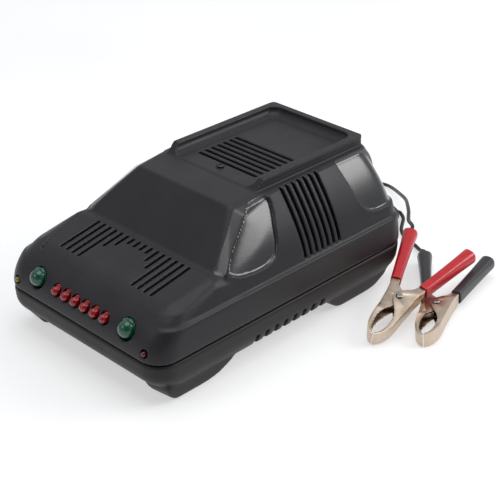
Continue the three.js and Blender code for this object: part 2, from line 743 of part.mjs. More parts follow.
// A clamp lying where its pose says: turned about Z, tipped along its length and rolled.
function addClamp(colourName, pose, sleeveColour) {
  const clamp = new THREE.Group();
  clamp.position.set(...pose.position);
  clamp.rotation.order = 'ZYX';
  clamp.rotation.set(
    THREE.MathUtils.degToRad(pose.roll),
    THREE.MathUtils.degToRad(-pose.pitch),
    THREE.MathUtils.degToRad(pose.yaw),
  );
  charger.add(clamp);
  const fixedJaw = mirrored(halfClamp(outerHalfHeight, innerHalfHeight, armHalfHeight));
  addPart(`${colourName}_jaw_fixed`, fixedJaw, 'steel', clamp);
  const movingJaw = halfClamp(outerHalfHeight, outerHalfHeight, armHalfHeight);
  addPart(`${colourName}_jaw_moving`, movingJaw, 'steel', clamp);
  addPart(`${colourName}_rivet`, rivet(), 'zinc', clamp);
  const fixedSpring = addPart(`${colourName}_spring_fixed`, springHalf(), 'zinc', clamp);
  fixedSpring.rotation.x = Math.PI;
  addPart(`${colourName}_spring_moving`, springHalf(), 'zinc', clamp);
  addPart(`${colourName}_sleeve_fixed`, mirrored(sleeve()), sleeveColour, clamp);
  addPart(`${colourName}_sleeve_moving`, sleeve(), sleeveColour, clamp);
  clamp.updateMatrixWorld(true);
  return clamp;
}

const redPose = { position: [91.7, 59.9, 11.3], yaw: -76.4, pitch: -10.5, roll: -7.2 };
const blackPose = { position: [106, 77, 5.45], yaw: -64.6, pitch: -1.3, roll: 5 };

// Two points that carry on the line of the fixed handle, the last one just outside its sleeve.
function handleEnds(clamp) {
  return [[-63.5, -21.1], [-57.7, -19.65]].map(([x, y]) => (
    clamp.localToWorld(new THREE.Vector3(x, y, 0)).toArray()));
}

addCase();
addElectronics();
addTransformer();
const redClamp = addClamp('red', redPose, 'redVinyl');
const blackClamp = addClamp('black', blackPose, 'blackVinyl');
addLeads(handleEnds(redClamp), handleEnds(blackClamp));

// The origin goes to the floor under the middle of the case and clamps, the leads left out.
const bounds = new THREE.Box3();
for (const piece of charger.children) {
  if (!piece.name.includes('_lead_')) bounds.expandByObject(piece, true);
}
const middle = bounds.getCenter(new THREE.Vector3());
charger.position.set(-middle.x, -middle.y, -bounds.min.z);

export default charger;
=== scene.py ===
# Car battery charger: the moulded case, its lamps, the two leads and the two sprung clamps.
import json
import math
import bmesh
import bpy
from mathutils import Matrix, Vector


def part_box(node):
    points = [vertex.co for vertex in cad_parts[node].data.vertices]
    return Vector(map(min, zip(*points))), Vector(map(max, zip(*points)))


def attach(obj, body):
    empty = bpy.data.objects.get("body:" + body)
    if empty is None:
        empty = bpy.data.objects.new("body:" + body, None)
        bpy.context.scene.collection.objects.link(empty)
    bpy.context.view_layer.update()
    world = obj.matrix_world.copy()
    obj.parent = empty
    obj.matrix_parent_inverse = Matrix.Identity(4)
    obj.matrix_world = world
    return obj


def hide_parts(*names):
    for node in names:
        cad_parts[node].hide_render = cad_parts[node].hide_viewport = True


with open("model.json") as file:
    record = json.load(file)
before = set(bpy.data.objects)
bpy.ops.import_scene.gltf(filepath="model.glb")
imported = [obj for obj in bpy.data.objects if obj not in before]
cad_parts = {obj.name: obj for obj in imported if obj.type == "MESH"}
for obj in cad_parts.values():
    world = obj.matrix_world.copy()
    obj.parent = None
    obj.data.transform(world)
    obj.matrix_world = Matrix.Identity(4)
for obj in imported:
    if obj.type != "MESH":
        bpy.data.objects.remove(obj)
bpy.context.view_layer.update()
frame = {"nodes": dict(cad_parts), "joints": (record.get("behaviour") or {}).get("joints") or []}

mm = 0.001
coverLow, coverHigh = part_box("top_cover")
caseMiddle = Vector(((coverLow[0] + coverHigh[0]) / 2, (coverLow[1] + coverHigh[1]) / 2, 0.0))
caseToFrame = Matrix.Translation(caseMiddle) @ Matrix.Scale(mm, 4)   # case millimetres to the frame's metres


def inFrame(x, y, z):
    return caseToFrame @ Vector((x, y, z))


# ---- camera

cameraSetup = {"place": (469.6, -444.0, 394.3), "azimuth": 44.65, "elevation": 29.25, "lens": 91.94}

cameraData = bpy.data.cameras.new("photoCamera")
cameraData.lens = cameraSetup["lens"]
cameraData.sensor_width = 36
cameraData.clip_end = 20
camera = bpy.data.objects.new("photoCamera", cameraData)
camera.location = inFrame(*cameraSetup["place"])
camera.rotation_euler = (math.radians(90 - cameraSetup["elevation"]), 0,
                         math.radians(cameraSetup["azimuth"]))
bpy.context.scene.collection.objects.link(camera)
bpy.context.scene.camera = camera
print("camera set")


# ---- shader groups shared by the finishes

def addNode(tree, kind, inputs=None, **settings):
    node = tree.nodes.new(kind)
    for name, value in settings.items():
        setattr(node, name, value)
    for name, value in (inputs or {}).items():
        if isinstance(value, bpy.types.NodeSocket):
            tree.links.new(value, node.inputs[name])
        else:
            node.inputs[name].default_value = value
    return node


def newGroup(name, inputs, outputs):
    group = bpy.data.node_groups.new(name, "ShaderNodeTree")
    for socketName, default in inputs.items():
        kind = "NodeSocketVector" if default is None else "NodeSocketFloat"
        socket = group.interface.new_socket(socketName, in_out="INPUT", socket_type=kind)
        if default is not None:
            socket.default_value = default
    for socketName in outputs:
        group.interface.new_socket(socketName, in_out="OUTPUT", socket_type="NodeSocketFloat")
    return group, group.nodes.new("NodeGroupInput"), group.nodes.new("NodeGroupOutput")


def math2(tree, operation, first, second, clamp=False):
    node = addNode(tree, "ShaderNodeMath", operation=operation, use_clamp=clamp)
    for socket, value in zip(node.inputs, (first, second)):
        if isinstance(value, bpy.types.NodeSocket):
            tree.links.new(value, socket)
        else:
            socket.default_value = value
    return node.outputs[0]


def makeMouldGrain():
    group, given, result = newGroup("mouldGrain", {"Vector": None, "Grain": 1700.0, "Mottle": 60.0},
                                    ["Height", "Mottling"])
    fine = addNode(group, "ShaderNodeTexNoise",
                   {"Vector": given.outputs["Vector"], "Scale": given.outputs["Grain"],
                                                 "Detail": 2.0, "Roughness": 0.6})
    coarse = addNode(group, "ShaderNodeTexNoise", {"Vector": given.outputs["Vector"],
                                                   "Scale": given.outputs["Mottle"], "Detail": 4.0})
    group.links.new(fine.outputs["Fac"], result.inputs["Height"])
    group.links.new(coarse.outputs["Fac"], result.inputs["Mottling"])
    return group


# Mask on sharp edges (pointiness times a noise patch). On the case it carries a painted edge highlight: a
# lighter bluish grey where light catches the edges. On the metal parts it gives a lighter edge colour.
def makeEdgeWearAndHighlight():
    group, given, result = newGroup("edgeWearAndHighlight", {"Vector": None, "Scale": 300.0, "Low": 0.52, "High": 0.6},
                                    ["Mask"])
    geometry = addNode(group, "ShaderNodeNewGeometry")
    edge = addNode(group, "ShaderNodeMapRange", {"Value": geometry.outputs["Pointiness"],
                                                 "From Min": given.outputs["Low"],
                                                 "From Max": given.outputs["High"]})
    patch = addNode(group, "ShaderNodeTexNoise",
                    {"Vector": given.outputs["Vector"], "Scale": given.outputs["Scale"],
                                                  "Detail": 3.0})
    mask = math2(group, "MULTIPLY", edge.outputs["Result"], patch.outputs["Fac"], clamp=True)
    group.links.new(mask, result.inputs["Mask"])
    return group


def makeDustFilm():
    group, given, result = newGroup("dustFilm", {"Vector": None, "Scale": 45.0, "Amount": 0.3}, ["Mask"])
    geometry = addNode(group, "ShaderNodeNewGeometry")
    facing = addNode(group, "ShaderNodeSeparateXYZ", {"Vector": geometry.outputs["Normal"]})
    up = addNode(group, "ShaderNodeMapRange", {"Value": facing.outputs["Z"], "From Min": 0.3,
                                               "From Max": 1.0})
    cloud = addNode(group, "ShaderNodeTexNoise",
                    {"Vector": given.outputs["Vector"], "Scale": given.outputs["Scale"],
                                                  "Detail": 6.0, "Roughness": 0.65})
    dusty = math2(group, "MULTIPLY", up.outputs["Result"], cloud.outputs["Fac"])
    group.links.new(math2(group, "MULTIPLY", dusty, given.outputs["Amount"], clamp=True),
                    result.inputs["Mask"])
    return group


def makeDrawLines():
    group, given, result = newGroup("drawLines", {"Vector": None, "Scale": 400.0, "Stretch": 0.08},
                                    ["Height", "Mask"])
    stretched = addNode(group, "ShaderNodeMapping", {"Vector": given.outputs["Vector"], "Scale": (1.0, 0.12,
                                                                                                  1.0)})
    lines = addNode(group, "ShaderNodeTexNoise", {"Vector": stretched.outputs["Vector"],
                                                  "Scale": given.outputs["Scale"], "Detail": 3.0})
    spots = addNode(group, "ShaderNodeTexNoise", {"Vector": given.outputs["Vector"], "Scale": 140.0,
                                                  "Detail": 4.0})
    group.links.new(lines.outputs["Fac"], result.inputs["Height"])
    group.links.new(spots.outputs["Fac"], result.inputs["Mask"])
    return group


mouldGrain = makeMouldGrain()
edgeWearAndHighlight = makeEdgeWearAndHighlight()
dustFilm = makeDustFilm()
drawLines = makeDrawLines()


def newFinish(name, **sockets):
    material = bpy.data.materials.new(name)
    material.use_nodes = True
    tree = material.node_tree
    shader = tree.nodes["Principled BSDF"]
    for socket, value in sockets.items():
        shader.inputs[socket.replace("_", " ")].default_value = value
    where = addNode(tree, "ShaderNodeTexCoord").outputs["Object"]
    return material, tree, shader, where


def placeGroup(tree, group, where, **values):
    node = addNode(tree, "ShaderNodeGroup", node_tree=group)
    tree.links.new(where, node.inputs["Vector"])
    for name, value in values.items():
        node.inputs[name].default_value = value
    return node


def mixColour(tree, factor, first, second):
    node = addNode(tree, "ShaderNodeMix", data_type="RGBA")
    for socket, value in ((node.inputs["Factor"], factor), (node.inputs[6], first),
                          (node.inputs[7], second)):
        if isinstance(value, bpy.types.NodeSocket):
            tree.links.new(value, socket)
        else:
            socket.default_value = value
    return node.outputs[2]


def remap(tree, value, low, high):
    node = addNode(tree, "ShaderNodeMapRange", {"Value": value, "From Min": 0.25, "From Max": 0.75,
                                                "To Min": low, "To Max": high})
    return node.outputs["Result"]


def addBump(tree, shader, height, strength, distance):
    bump = addNode(tree, "ShaderNodeBump", {"Strength": strength, "Distance": distance, "Height": height})
    tree.links.new(bump.outputs["Normal"], shader.inputs["Normal"])


def srgb(red, green, blue):
    def channel(value):
        value /= 255
        return value / 12.92 if value <= 0.04045 else ((value + 0.055) / 1.055) ** 2.4
    return (channel(red), channel(green), channel(blue), 1.0)


# ---- finishes

def makeCasePlastic(name, look):
    material, tree, shader, where = newFinish(name, Specular_IOR_Level=look["specular"])
    grain = placeGroup(tree, mouldGrain, where, Grain=look["grain"], Mottle=70.0)
    rubAndHighlight = placeGroup(tree, edgeWearAndHighlight, where, Scale=350.0, Low=look["edgeHighlightLow"], High=look["edgeHighlightHigh"])
    dust = placeGroup(tree, dustFilm, where, Amount=look["dust"])
    body = mixColour(tree, grain.outputs["Mottling"], srgb(*look["dark"]), srgb(*look["light"]))
    # painted edge highlight: sharp edges of the case mixed towards a lighter grey
    edgeHighlighted = mixColour(tree, rubAndHighlight.outputs["Mask"], body, srgb(*look["edgeHighlight"]))
    dusty = mixColour(tree, dust.outputs["Mask"], edgeHighlighted, srgb(*look["dustColour"]))
    roughness = remap(tree, grain.outputs["Mottling"], look["rough"] - 0.05, look["rough"] + 0.06)
    height = grain.outputs["Height"]
    if look["glossy"]:
        gloss = addNode(tree, "ShaderNodeAttribute", attribute_name="glossArea").outputs["Fac"]
        dusty = mixColour(tree, gloss, dusty, srgb(*look["glossColour"]))
        matt = math2(tree, "SUBTRACT", 1.0, gloss)
        roughness = math2(tree, "ADD", math2(tree, "MULTIPLY", roughness, matt),
                          math2(tree, "MULTIPLY", gloss, look["glossRough"]))
        height = math2(tree, "MULTIPLY", height, matt)
        tree.links.new(gloss, shader.inputs["Coat Weight"])
        shader.inputs["Coat Roughness"].default_value = 0.2
    tree.links.new(dusty, shader.inputs["Base Color"])
    tree.links.new(roughness, shader.inputs["Roughness"])
    addBump(tree, shader, height, look["bump"], 0.00012)
    return material


# the case's edge colours are painted highlights along its sharp edges
coverLook = {"dark": (27, 26, 29), "light": (35, 34, 37), "edgeHighlight": (100, 103, 113),
             "dustColour": (92, 84, 84),
             "rough": 0.4, "specular": 0.27, "grain": 1500.0, "bump": 0.5, "dust": 0.22,
             "edgeHighlightLow": 0.52, "edgeHighlightHigh": 0.59, "glossy": True, "glossColour": (16, 16, 19),
             "glossRough": 0.27}
tubLook = {"dark": (30, 27, 26), "light": (40, 36, 35), "edgeHighlight": (84, 80, 80), "dustColour": (92, 86, 84),
           "rough": 0.42, "specular": 0.24, "grain": 1500.0, "bump": 0.45, "dust": 0.1,
           "edgeHighlightLow": 0.53, "edgeHighlightHigh": 0.62, "glossy": False}


def makeLampPlastic(name, colour, deep):
    material, tree, shader, where = newFinish(name, Transmission_Weight=0.15, IOR=1.45, Coat_Weight=0.7,
                                              Coat_Roughness=0.02, Specular_IOR_Level=0.3)
    swirl = placeGroup(tree, mouldGrain, where, Grain=900.0, Mottle=240.0)
    tree.links.new(mixColour(tree, swirl.outputs["Mottling"], srgb(*deep), srgb(*colour)),
                   shader.inputs["Base Color"])
    tree.links.new(remap(tree, swirl.outputs["Mottling"], 0.08, 0.16), shader.inputs["Roughness"])
    addBump(tree, shader, swirl.outputs["Height"], 0.008, 0.0001)
    return material


def makeVinyl(name, look):
    material, tree, shader, where = newFinish(name, Specular_IOR_Level=0.5, Coat_Weight=look["coat"],
                                              Coat_Roughness=0.18)
    skin = placeGroup(tree, mouldGrain, where, Grain=420.0, Mottle=110.0)
    dust = placeGroup(tree, dustFilm, where, Amount=look["dust"])
    body = mixColour(tree, skin.outputs["Mottling"], srgb(*look["dark"]), srgb(*look["light"]))
    tree.links.new(mixColour(tree, dust.outputs["Mask"], body, srgb(150, 140, 138)),
                   shader.inputs["Base Color"])
    tree.links.new(remap(tree, skin.outputs["Mottling"], look["rough"] - 0.06, look["rough"] + 0.08),
                   shader.inputs["Roughness"])
    addBump(tree, shader, skin.outputs["Height"], 0.16, 0.0003)
    return material


def makeMetal(name, look):
    material, tree, shader, where = newFinish(name, Metallic=1.0)
    drawn = placeGroup(tree, drawLines, where, Scale=look["lines"])
    rubAndHighlight = placeGroup(tree, edgeWearAndHighlight, where, Scale=500.0, Low=0.5, High=0.62)
    base = mixColour(tree, drawn.outputs["Mask"], srgb(*look["dark"]), srgb(*look["light"]))
    tree.links.new(mixColour(tree, rubAndHighlight.outputs["Mask"], base, srgb(*look["edge"])),
                   shader.inputs["Base Color"])
    tree.links.new(remap(tree, drawn.outputs["Mask"], look["rough"] - 0.06, look["rough"] + 0.1),
                   shader.inputs["Roughness"])
    addBump(tree, shader, drawn.outputs["Height"], look["bump"], 0.0001)
    return material


def makePlain(name, look):
    material, tree, shader, where = newFinish(name, Metallic=look.get("metal", 0.0))
    cloud = placeGroup(tree, mouldGrain, where, Grain=look.get("grain", 900.0),
                       Mottle=look.get("mottle", 150.0))
    tree.links.new(mixColour(tree, cloud.outputs["Mottling"], srgb(*look["dark"]), srgb(*look["light"])),
                   shader.inputs["Base Color"])
    tree.links.new(remap(tree, cloud.outputs["Height"], look["rough"] - 0.08, look["rough"] + 0.08),
                   shader.inputs["Roughness"])
    addBump(tree, shader, cloud.outputs["Height"], look.get("bump", 0.3), 0.0002)
    return material


finish = {
    "cover": makeCasePlastic("coverPlastic", coverLook),
    "tub": makeCasePlastic("tubPlastic", tubLook),
    "lampRed": makeLampPlastic("redLampPlastic", (176, 4, 16), (112, 0, 6)),
    "lampDarkRed": makeLampPlastic("darkRedLampPlastic", (96, 10, 20), (60, 4, 10)),
    "lampGreen": makeLampPlastic("greenLampPlastic", (0, 92, 62), (0, 56, 42)),
    "lampYellow": makeLampPlastic("yellowLampPlastic", (140, 134, 20), (100, 92, 10)),
    "redVinyl": makeVinyl("redVinyl", {"dark": (178, 4, 20), "light": (200, 12, 30), "rough": 0.32,
                                       "coat": 0.15,
                                       "dust": 0.015}),
    "blackVinyl": makeVinyl("blackVinyl", {"dark": (24, 24, 26), "light": (36, 36, 39), "rough": 0.38,
                                           "coat": 0.15,
                                           "dust": 0.03}),
    "leadPvc": makeVinyl("leadPvc", {"dark": (10, 10, 11), "light": (18, 18, 20), "rough": 0.42, "coat": 0.1,
                                     "dust": 0.02}),
    "glandRubber": makeVinyl("glandRubber", {"dark": (22, 22, 23), "light": (34, 33, 34), "rough": 0.6,
                                             "coat": 0.0,
                                             "dust": 0.12}),
    "clampSteel": makeMetal("clampSteel", {"dark": (176, 152, 132), "light": (214, 196, 176),
                                           "edge": (240, 230, 218),
                                           "lines": 380.0, "rough": 0.3, "bump": 0.12}),
    "zincSteel": makeMetal("zincSteel", {"dark": (168, 168, 170), "light": (208, 208, 208),
                                         "edge": (235, 235, 235),
                                         "lines": 500.0, "rough": 0.28, "bump": 0.1}),
    "darkSteel": makeMetal("darkSteel", {"dark": (44, 42, 42), "light": (70, 68, 68),
                                         "edge": (120, 118, 118),
                                         "lines": 500.0, "rough": 0.36, "bump": 0.1}),
    "springWire": makeMetal("springWire", {"dark": (120, 116, 112), "light": (160, 156, 150),
                                           "edge": (200, 198, 194),
                                           "lines": 800.0, "rough": 0.3, "bump": 0.08}),
    "coreIron": makeMetal("coreIron", {"dark": (70, 66, 62), "light": (104, 100, 94),
                                       "edge": (140, 136, 130),
                                       "lines": 1400.0, "rough": 0.5, "bump": 0.5}),
    "copperWire": makePlain("copperWire", {"dark": (132, 66, 30), "light": (184, 104, 56), "rough": 0.35,
                                           "metal": 0.8, "grain": 1800.0, "bump": 0.6}),
    "circuitBoard": makePlain("circuitBoard", {"dark": (22, 72, 34), "light": (38, 104, 52), "rough": 0.4,
                                               "mottle": 420.0}),
    "nylon": makePlain("nylon", {"dark": (204, 198, 184), "light": (226, 222, 210), "rough": 0.5}),
    "component": makePlain("componentBlack", {"dark": (20, 20, 22), "light": (34, 34, 38), "rough": 0.45}),
    "fuseGlass": makePlain("fuseGlass", {"dark": (190, 200, 200), "light": (216, 224, 224), "rough": 0.12,
                                         "bump": 0.02}),
    "tie": makePlain("tieStrap", {"dark": (26, 26, 28), "light": (40, 40, 43), "rough": 0.45}),
}
print("finishes made:", len(finish))


# ---- mesh tools

def linkObject(name, data):
    piece = bpy.data.objects.new(name, data)
    bpy.context.scene.collection.objects.link(piece)
    return piece


def objectFrom(name, bm):
    mesh = bpy.data.meshes.new(name)
    bm.to_mesh(mesh)
    bm.free()
    return linkObject(name, mesh)


def cook(piece):
    bpy.context.view_layer.update()
    graph = bpy.context.evaluated_depsgraph_get()
    mesh = bpy.data.meshes.new_from_object(piece.evaluated_get(graph))
    piece.modifiers.clear()
    old = piece.data
    piece.data = mesh
    bpy.data.meshes.remove(old)
    return piece


def combine(piece, others, operation):
    for other in others:
        modifier = piece.modifiers.new(operation.lower(), "BOOLEAN")
        modifier.operation = operation
        modifier.solver = "MANIFOLD"
        modifier.object = other
    cook(piece)
    for other in others:
        bpy.data.objects.remove(other)
    return piece


def combineAll(piece, cutters, operation):
    joined = cutters[0]
    if len(cutters) > 1:
        combine(joined, cutters[1:], "UNION")
    return combine(piece, [joined], operation)


def remesh(piece, voxel, smoothing=0, factor=0.5):
    modifier = piece.modifiers.new("skin", "REMESH")
    modifier.mode = "VOXEL"
    modifier.voxel_size = voxel
    modifier.adaptivity = 0.0
    if smoothing:
        soften = piece.modifiers.new("soften", "SMOOTH")
        soften.iterations = smoothing
        soften.factor = factor
    return cook(piece)


def hullBlock(name, points):
    bm = bmesh.new()
    for point in points:
        bm.verts.new(point)
    made = bmesh.ops.convex_hull(bm, input=bm.verts)
    loose = {v for v in made["geom_interior"] + made["geom_unused"] if isinstance(v, bmesh.types.BMVert)}
    bmesh.ops.delete(bm, geom=list(loose), context="VERTS")
    bmesh.ops.recalc_face_normals(bm, faces=bm.faces)
    return objectFrom(name, bm)


def prism(name, outline, low, high, across="Z"):
    bm = bmesh.new()
    order = {"Z": lambda a, b, c: (a, b, c), "X": lambda a, b, c: (c, a, b), "Y": lambda a, b,
             c: (a, c, b)}[across]
    bottom = [bm.verts.new(order(a, b, low)) for a, b in outline]
    top = [bm.verts.new(order(a, b, high)) for a, b in outline]
    bm.faces.new(bottom)
    bm.faces.new(top)
    for i in range(len(outline)):
        j = (i + 1) % len(outline)
        bm.faces.new((bottom[i], bottom[j], top[j], top[i]))
    bmesh.ops.recalc_face_normals(bm, faces=bm.faces)
    return objectFrom(name, bm)


def slotOutline(startA, endA, middleB, half, alongFirst=True):
    outline = []
    for end, turn in ((endA, -1), (startA, 1)):
        for i in range(7):
            angle = math.pi * (i / 6 - 0.5) + (0 if turn < 0 else math.pi)
            a = end + turn * half + half * math.cos(angle)
            b = middleB + half * math.sin(angle)
            outline.append((a, b) if alongFirst else (b, a))
    return outline


def ringPoints(halfX, frontY, rearY, radius, z, steps=10):
    points = []
    for quarter, (sx, sy) in enumerate(((1, 1), (-1, 1), (-1, -1), (1, -1))):
        cx = sx * (halfX - radius)
        cy = rearY - radius if sy > 0 else frontY + radius
        for i in range(steps + 1):
            angle = (quarter + i / steps) * math.pi / 2
            points.append((cx + radius * math.cos(angle), cy + radius * math.sin(angle), z))
    return points


def bothSides(points):
    return [(s * x, y, z) for x, y, z in points for s in (1, -1)]


def lathe(name, profile, steps=32, axis="Z"):
    bm = bmesh.new()
    place = {"Z": lambda r, t, h: (r * math.cos(t), r * math.sin(t), h),
             "Y": lambda r, t, h: (r * math.cos(t), h, r * math.sin(t))}[axis]
    rings = []
    for radius, height in profile:
        if radius < 1e-6:
            rings.append([bm.verts.new(place(0, 0, height))])
        else:
            rings.append([bm.verts.new(place(radius, 2 * math.pi * i / steps,
                                             height)) for i in range(steps)])
    for low, high in zip(rings, rings[1:]):
        for i in range(steps):
            j = (i + 1) % steps
            corners = [low[i % len(low)], low[j % len(low)], high[j % len(high)], high[i % len(high)]]
            unique = list(dict.fromkeys(corners))
            if len(unique) > 2:
                bm.faces.new(unique)
    bmesh.ops.recalc_face_normals(bm, faces=bm.faces)
    return objectFrom(name, bm)


def shadeSmooth(piece, angle=35):
    for polygon in piece.data.polygons:
        polygon.use_smooth = True
    piece.data.set_sharp_from_angle(angle=math.radians(angle))


def addPiece(piece, material, body="case", replaces=(), matrix=caseToFrame):
    if piece.type == "MESH":
        piece.data.transform(matrix)
    piece.data.materials.clear()
    piece.data.materials.append(material)
    if replaces:
        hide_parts(*replaces)
    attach(piece, body)
    return piece


def smoothThrough(points, perSpan):
    given = [Vector(p) for p in points]
    given = [2 * given[0] - given[1], *given, 2 * given[-1] - given[-2]]
    curve = []
    for i in range(1, len(given) - 2):
        before, start, end, after = given[i - 1:i + 3]
        spans = [max((b - a).length, 1e-6) ** 0.5 for a, b in ((before, start), (start, end), (end, after))]
        leave = ((start - before) / spans[0] - (end - before) / (spans[0] + spans[1])
                 + (end - start) / spans[1]) * spans[1]
        arrive = ((end - start) / spans[1] - (after - start) / (spans[1] + spans[2])
                  + (after - end) / spans[2]) * spans[1]
        for step in range(perSpan):
            t = step / perSpan
            curve.append((2 * t**3 - 3 * t**2 + 1) * start + (t**3 - 2 * t**2 + t) * leave
                         + (3 * t**2 - 2 * t**3) * end + (t**3 - t**2) * arrive)
    return [*curve, given[-2]]


# ---- clamps' places

clampYaw = {"red": -76.4, "black": -64.6}


def clampMatrix(colour):
    joint = next(j for j in frame["joints"] if j["name"] == f"{colour}_clamp_squeeze")
    up = Vector(joint["axis"]).normalized()
    yaw = math.radians(clampYaw[colour])
    level = Vector((math.cos(yaw), math.sin(yaw), 0))
    along = (level - Vector((0, 0, level.dot(up) / up.z))).normalized()
    turn = Matrix((along, up.cross(along), up)).transposed().to_4x4()
    return Matrix.Translation(joint["pos_m"]) @ turn @ Matrix.Scale(mm, 4)


# ---- leads

lead = {
    "diameter": 2.4,
    "innerRoute": [(112.8, 14), (115.6, 14), (118.85, 13.43), (121.7, 11.78), (123.75, 9), (125.8, 5.95),
                   (128.65, 4.27), (131.9, 3.75)],
    "coilY": 142.5,
    "topZ": 3.8,
    "bottomZ": 1.3,
}
redLead = {
    "x": -22, "coilX": -40, "turns": 4, "outerRadius": 18, "sense": 1, "startAngle": 0, "endAngle": 0,
    "outerRoute": [(-22, 153, 1.25), (-24, 159.5, 1.25), (-30, 166, 1.25), (-34, 173, 1.25),
                   (-33.5, 180, 1.25),
                   (-28, 185, 1.3), (-20, 185.6, 2.3), (-10, 180.5, 4.9), (0, 173, 8.3), (10, 165, 11.9),
                   (20, 156, 15.6), (29, 146, 18.8), (38, 135.5, 21.4), (47.2, 123.8, 22.9)],
}
blackLead = {
    "x": -18, "coilX": 1.2, "turns": 5, "outerRadius": 19.2, "sense": -1, "startAngle": 180, "endAngle": 90,
    "outerRoute": [(11.7, 161.7, 1.25), (18, 157, 1.25), (23, 149.5, 1.25), (28, 142.5, 1.25),
                   (34, 138, 1.25),
                   (40.5, 135.4, 1.25), (47.5, 132.5, 1.5), (54, 128.8, 2.4)],
}


def coilPoints(spec):
    points = []
    turn = math.radians(spec["endAngle"] - spec["startAngle"]) * spec["sense"]
    extra = (turn % (2 * math.pi)) / (2 * math.pi)      # part of a turn more on the way out
    for layer, turns in (("topZ", spec["turns"]), ("bottomZ", spec["turns"] + extra)):
        steps = round(24 * turns)
        for i in range(1, steps):
            done = i / steps
            inner = spec["outerRadius"] - 2.4 * spec["turns"]
            share = 1 - done if layer == "topZ" else done
            radius = inner + (spec["outerRadius"] - inner) * share
            angle = math.radians(spec["startAngle"]) + spec["sense"] * 2 * math.pi * done * turns
            height = lead["topZ"] if layer == "topZ" else lead["bottomZ"]
            if layer == "bottomZ":
                height += (lead["topZ"] - lead["bottomZ"]) * max(0.0, 1 - done * turns * 2.5)
            points.append((spec["coilX"] + radius * math.cos(angle),
                           lead["coilY"] + radius * math.sin(angle), height))
    return points


def makeLead(colour, spec):
    toClamp = caseToFrame.inverted() @ clampMatrix(colour)
    handle = [toClamp @ Vector(p) for p in ((-63.5, -21.1, 0), (-57.7, -19.65, 0), (-53, -18.5, 0))]
    inner = [(spec["x"], y, z) for y, z in lead["innerRoute"]]
    route = smoothThrough(inner, 4) + [Vector(p) for p in coilPoints(spec)]
    route += smoothThrough([*spec["outerRoute"], *handle], 5)
    curve = bpy.data.curves.new(f"{colour}_lead", "CURVE")
    curve.dimensions = "3D"
    curve.bevel_depth = lead["diameter"] / 2 * mm
    curve.bevel_resolution = 5
    curve.use_fill_caps = True
    spline = curve.splines.new("POLY")
    spline.points.add(len(route) - 1)
    length = 0
    for i, point in enumerate(route):
        spline.points[i].co = (*(caseToFrame @ point), 1)
        if i:
            length += (point - route[i - 1]).length
    spline.use_smooth = True
    piece = linkObject(f"{colour}_lead", curve)
    addPiece(piece, finish["leadPvc"],
             replaces=[f"{colour}_lead_inner", f"{colour}_lead_coil", f"{colour}_lead_outer"])
    return piece, route, length * mm


def makeTie(colour, spec):
    inner = spec["outerRadius"] - 2.4 * spec["turns"] - 1.5
    outer = spec["outerRadius"] + 1.5
    bm = bmesh.new()
    loop = []
    for cx, cz, quarter in ((outer - 1, 4.1, 0), (inner + 1, 4.1, 1), (inner + 1, 1.05, 2),
                            (outer - 1, 1.05, 3)):
        for i in range(5):
            angle = (quarter + i / 4) * math.pi / 2
            loop.append((cx, cz, math.cos(angle), math.sin(angle)))
    rings = []
    for width in (-1.6, 1.6):
        for radius in ((1.0, 1.5) if width < 0 else (1.5, 1.0)):
            rings.append([bm.verts.new((cx + radius * c, width, max(cz + radius * s, 0.02))) for cx, cz, c,
                          s in loop])
    for k in range(4):
        first, second = rings[k], rings[(k + 1) % 4]
        for i in range(len(loop)):
            j = (i + 1) % len(loop)
            bm.faces.new((first[i], first[j], second[j], second[i]))
    bmesh.ops.recalc_face_normals(bm, faces=bm.faces)
    piece = objectFrom(f"{colour}_lead_tie", bm)
    rounding = piece.modifiers.new("rounding", "BEVEL")
    rounding.width = 0.12
    rounding.segments = 2
    cook(piece)
    shadeSmooth(piece, 50)
    turned = Matrix.Translation((spec["coilX"], lead["coilY"], 0)) @ Matrix.Rotation(math.radians(-60), 4,
                                                                                     "Z")
    return addPiece(piece, finish["tie"], matrix=caseToFrame @ turned)


for colour, spec in (("red", redLead), ("black", blackLead)):
    leadPiece, leadRoute, leadLength = makeLead(colour, spec)
    tie = makeTie(colour, spec)
    print(colour, "lead", round(leadLength, 3), "m")


# ---- case

slotHalf = 1.15           # half the width of a tray or side slot
pilotRadius = 1.75        # holes for the screws from below
screwAcross = 38
screwFrontY = -77
screwRearY = 82

caseForm = {
    "halfWidth": 65.0, "halfLength": 100.0, "seamZ": 27.2, "beltZ": 44.5, "wall": 2.4,
    "deckFrontY": -79.4, "deckFrontZ": 52.3, "screenFoot": (51.5, -47.0, 57.6),
            "screenTop": (36.0, -21.5, 82.0),
    "trayFloorZ": 83.4, "rimZ": 88.7, "trayHalf": 36.3, "trayRearY": 88.8,
}
fine = 0.55


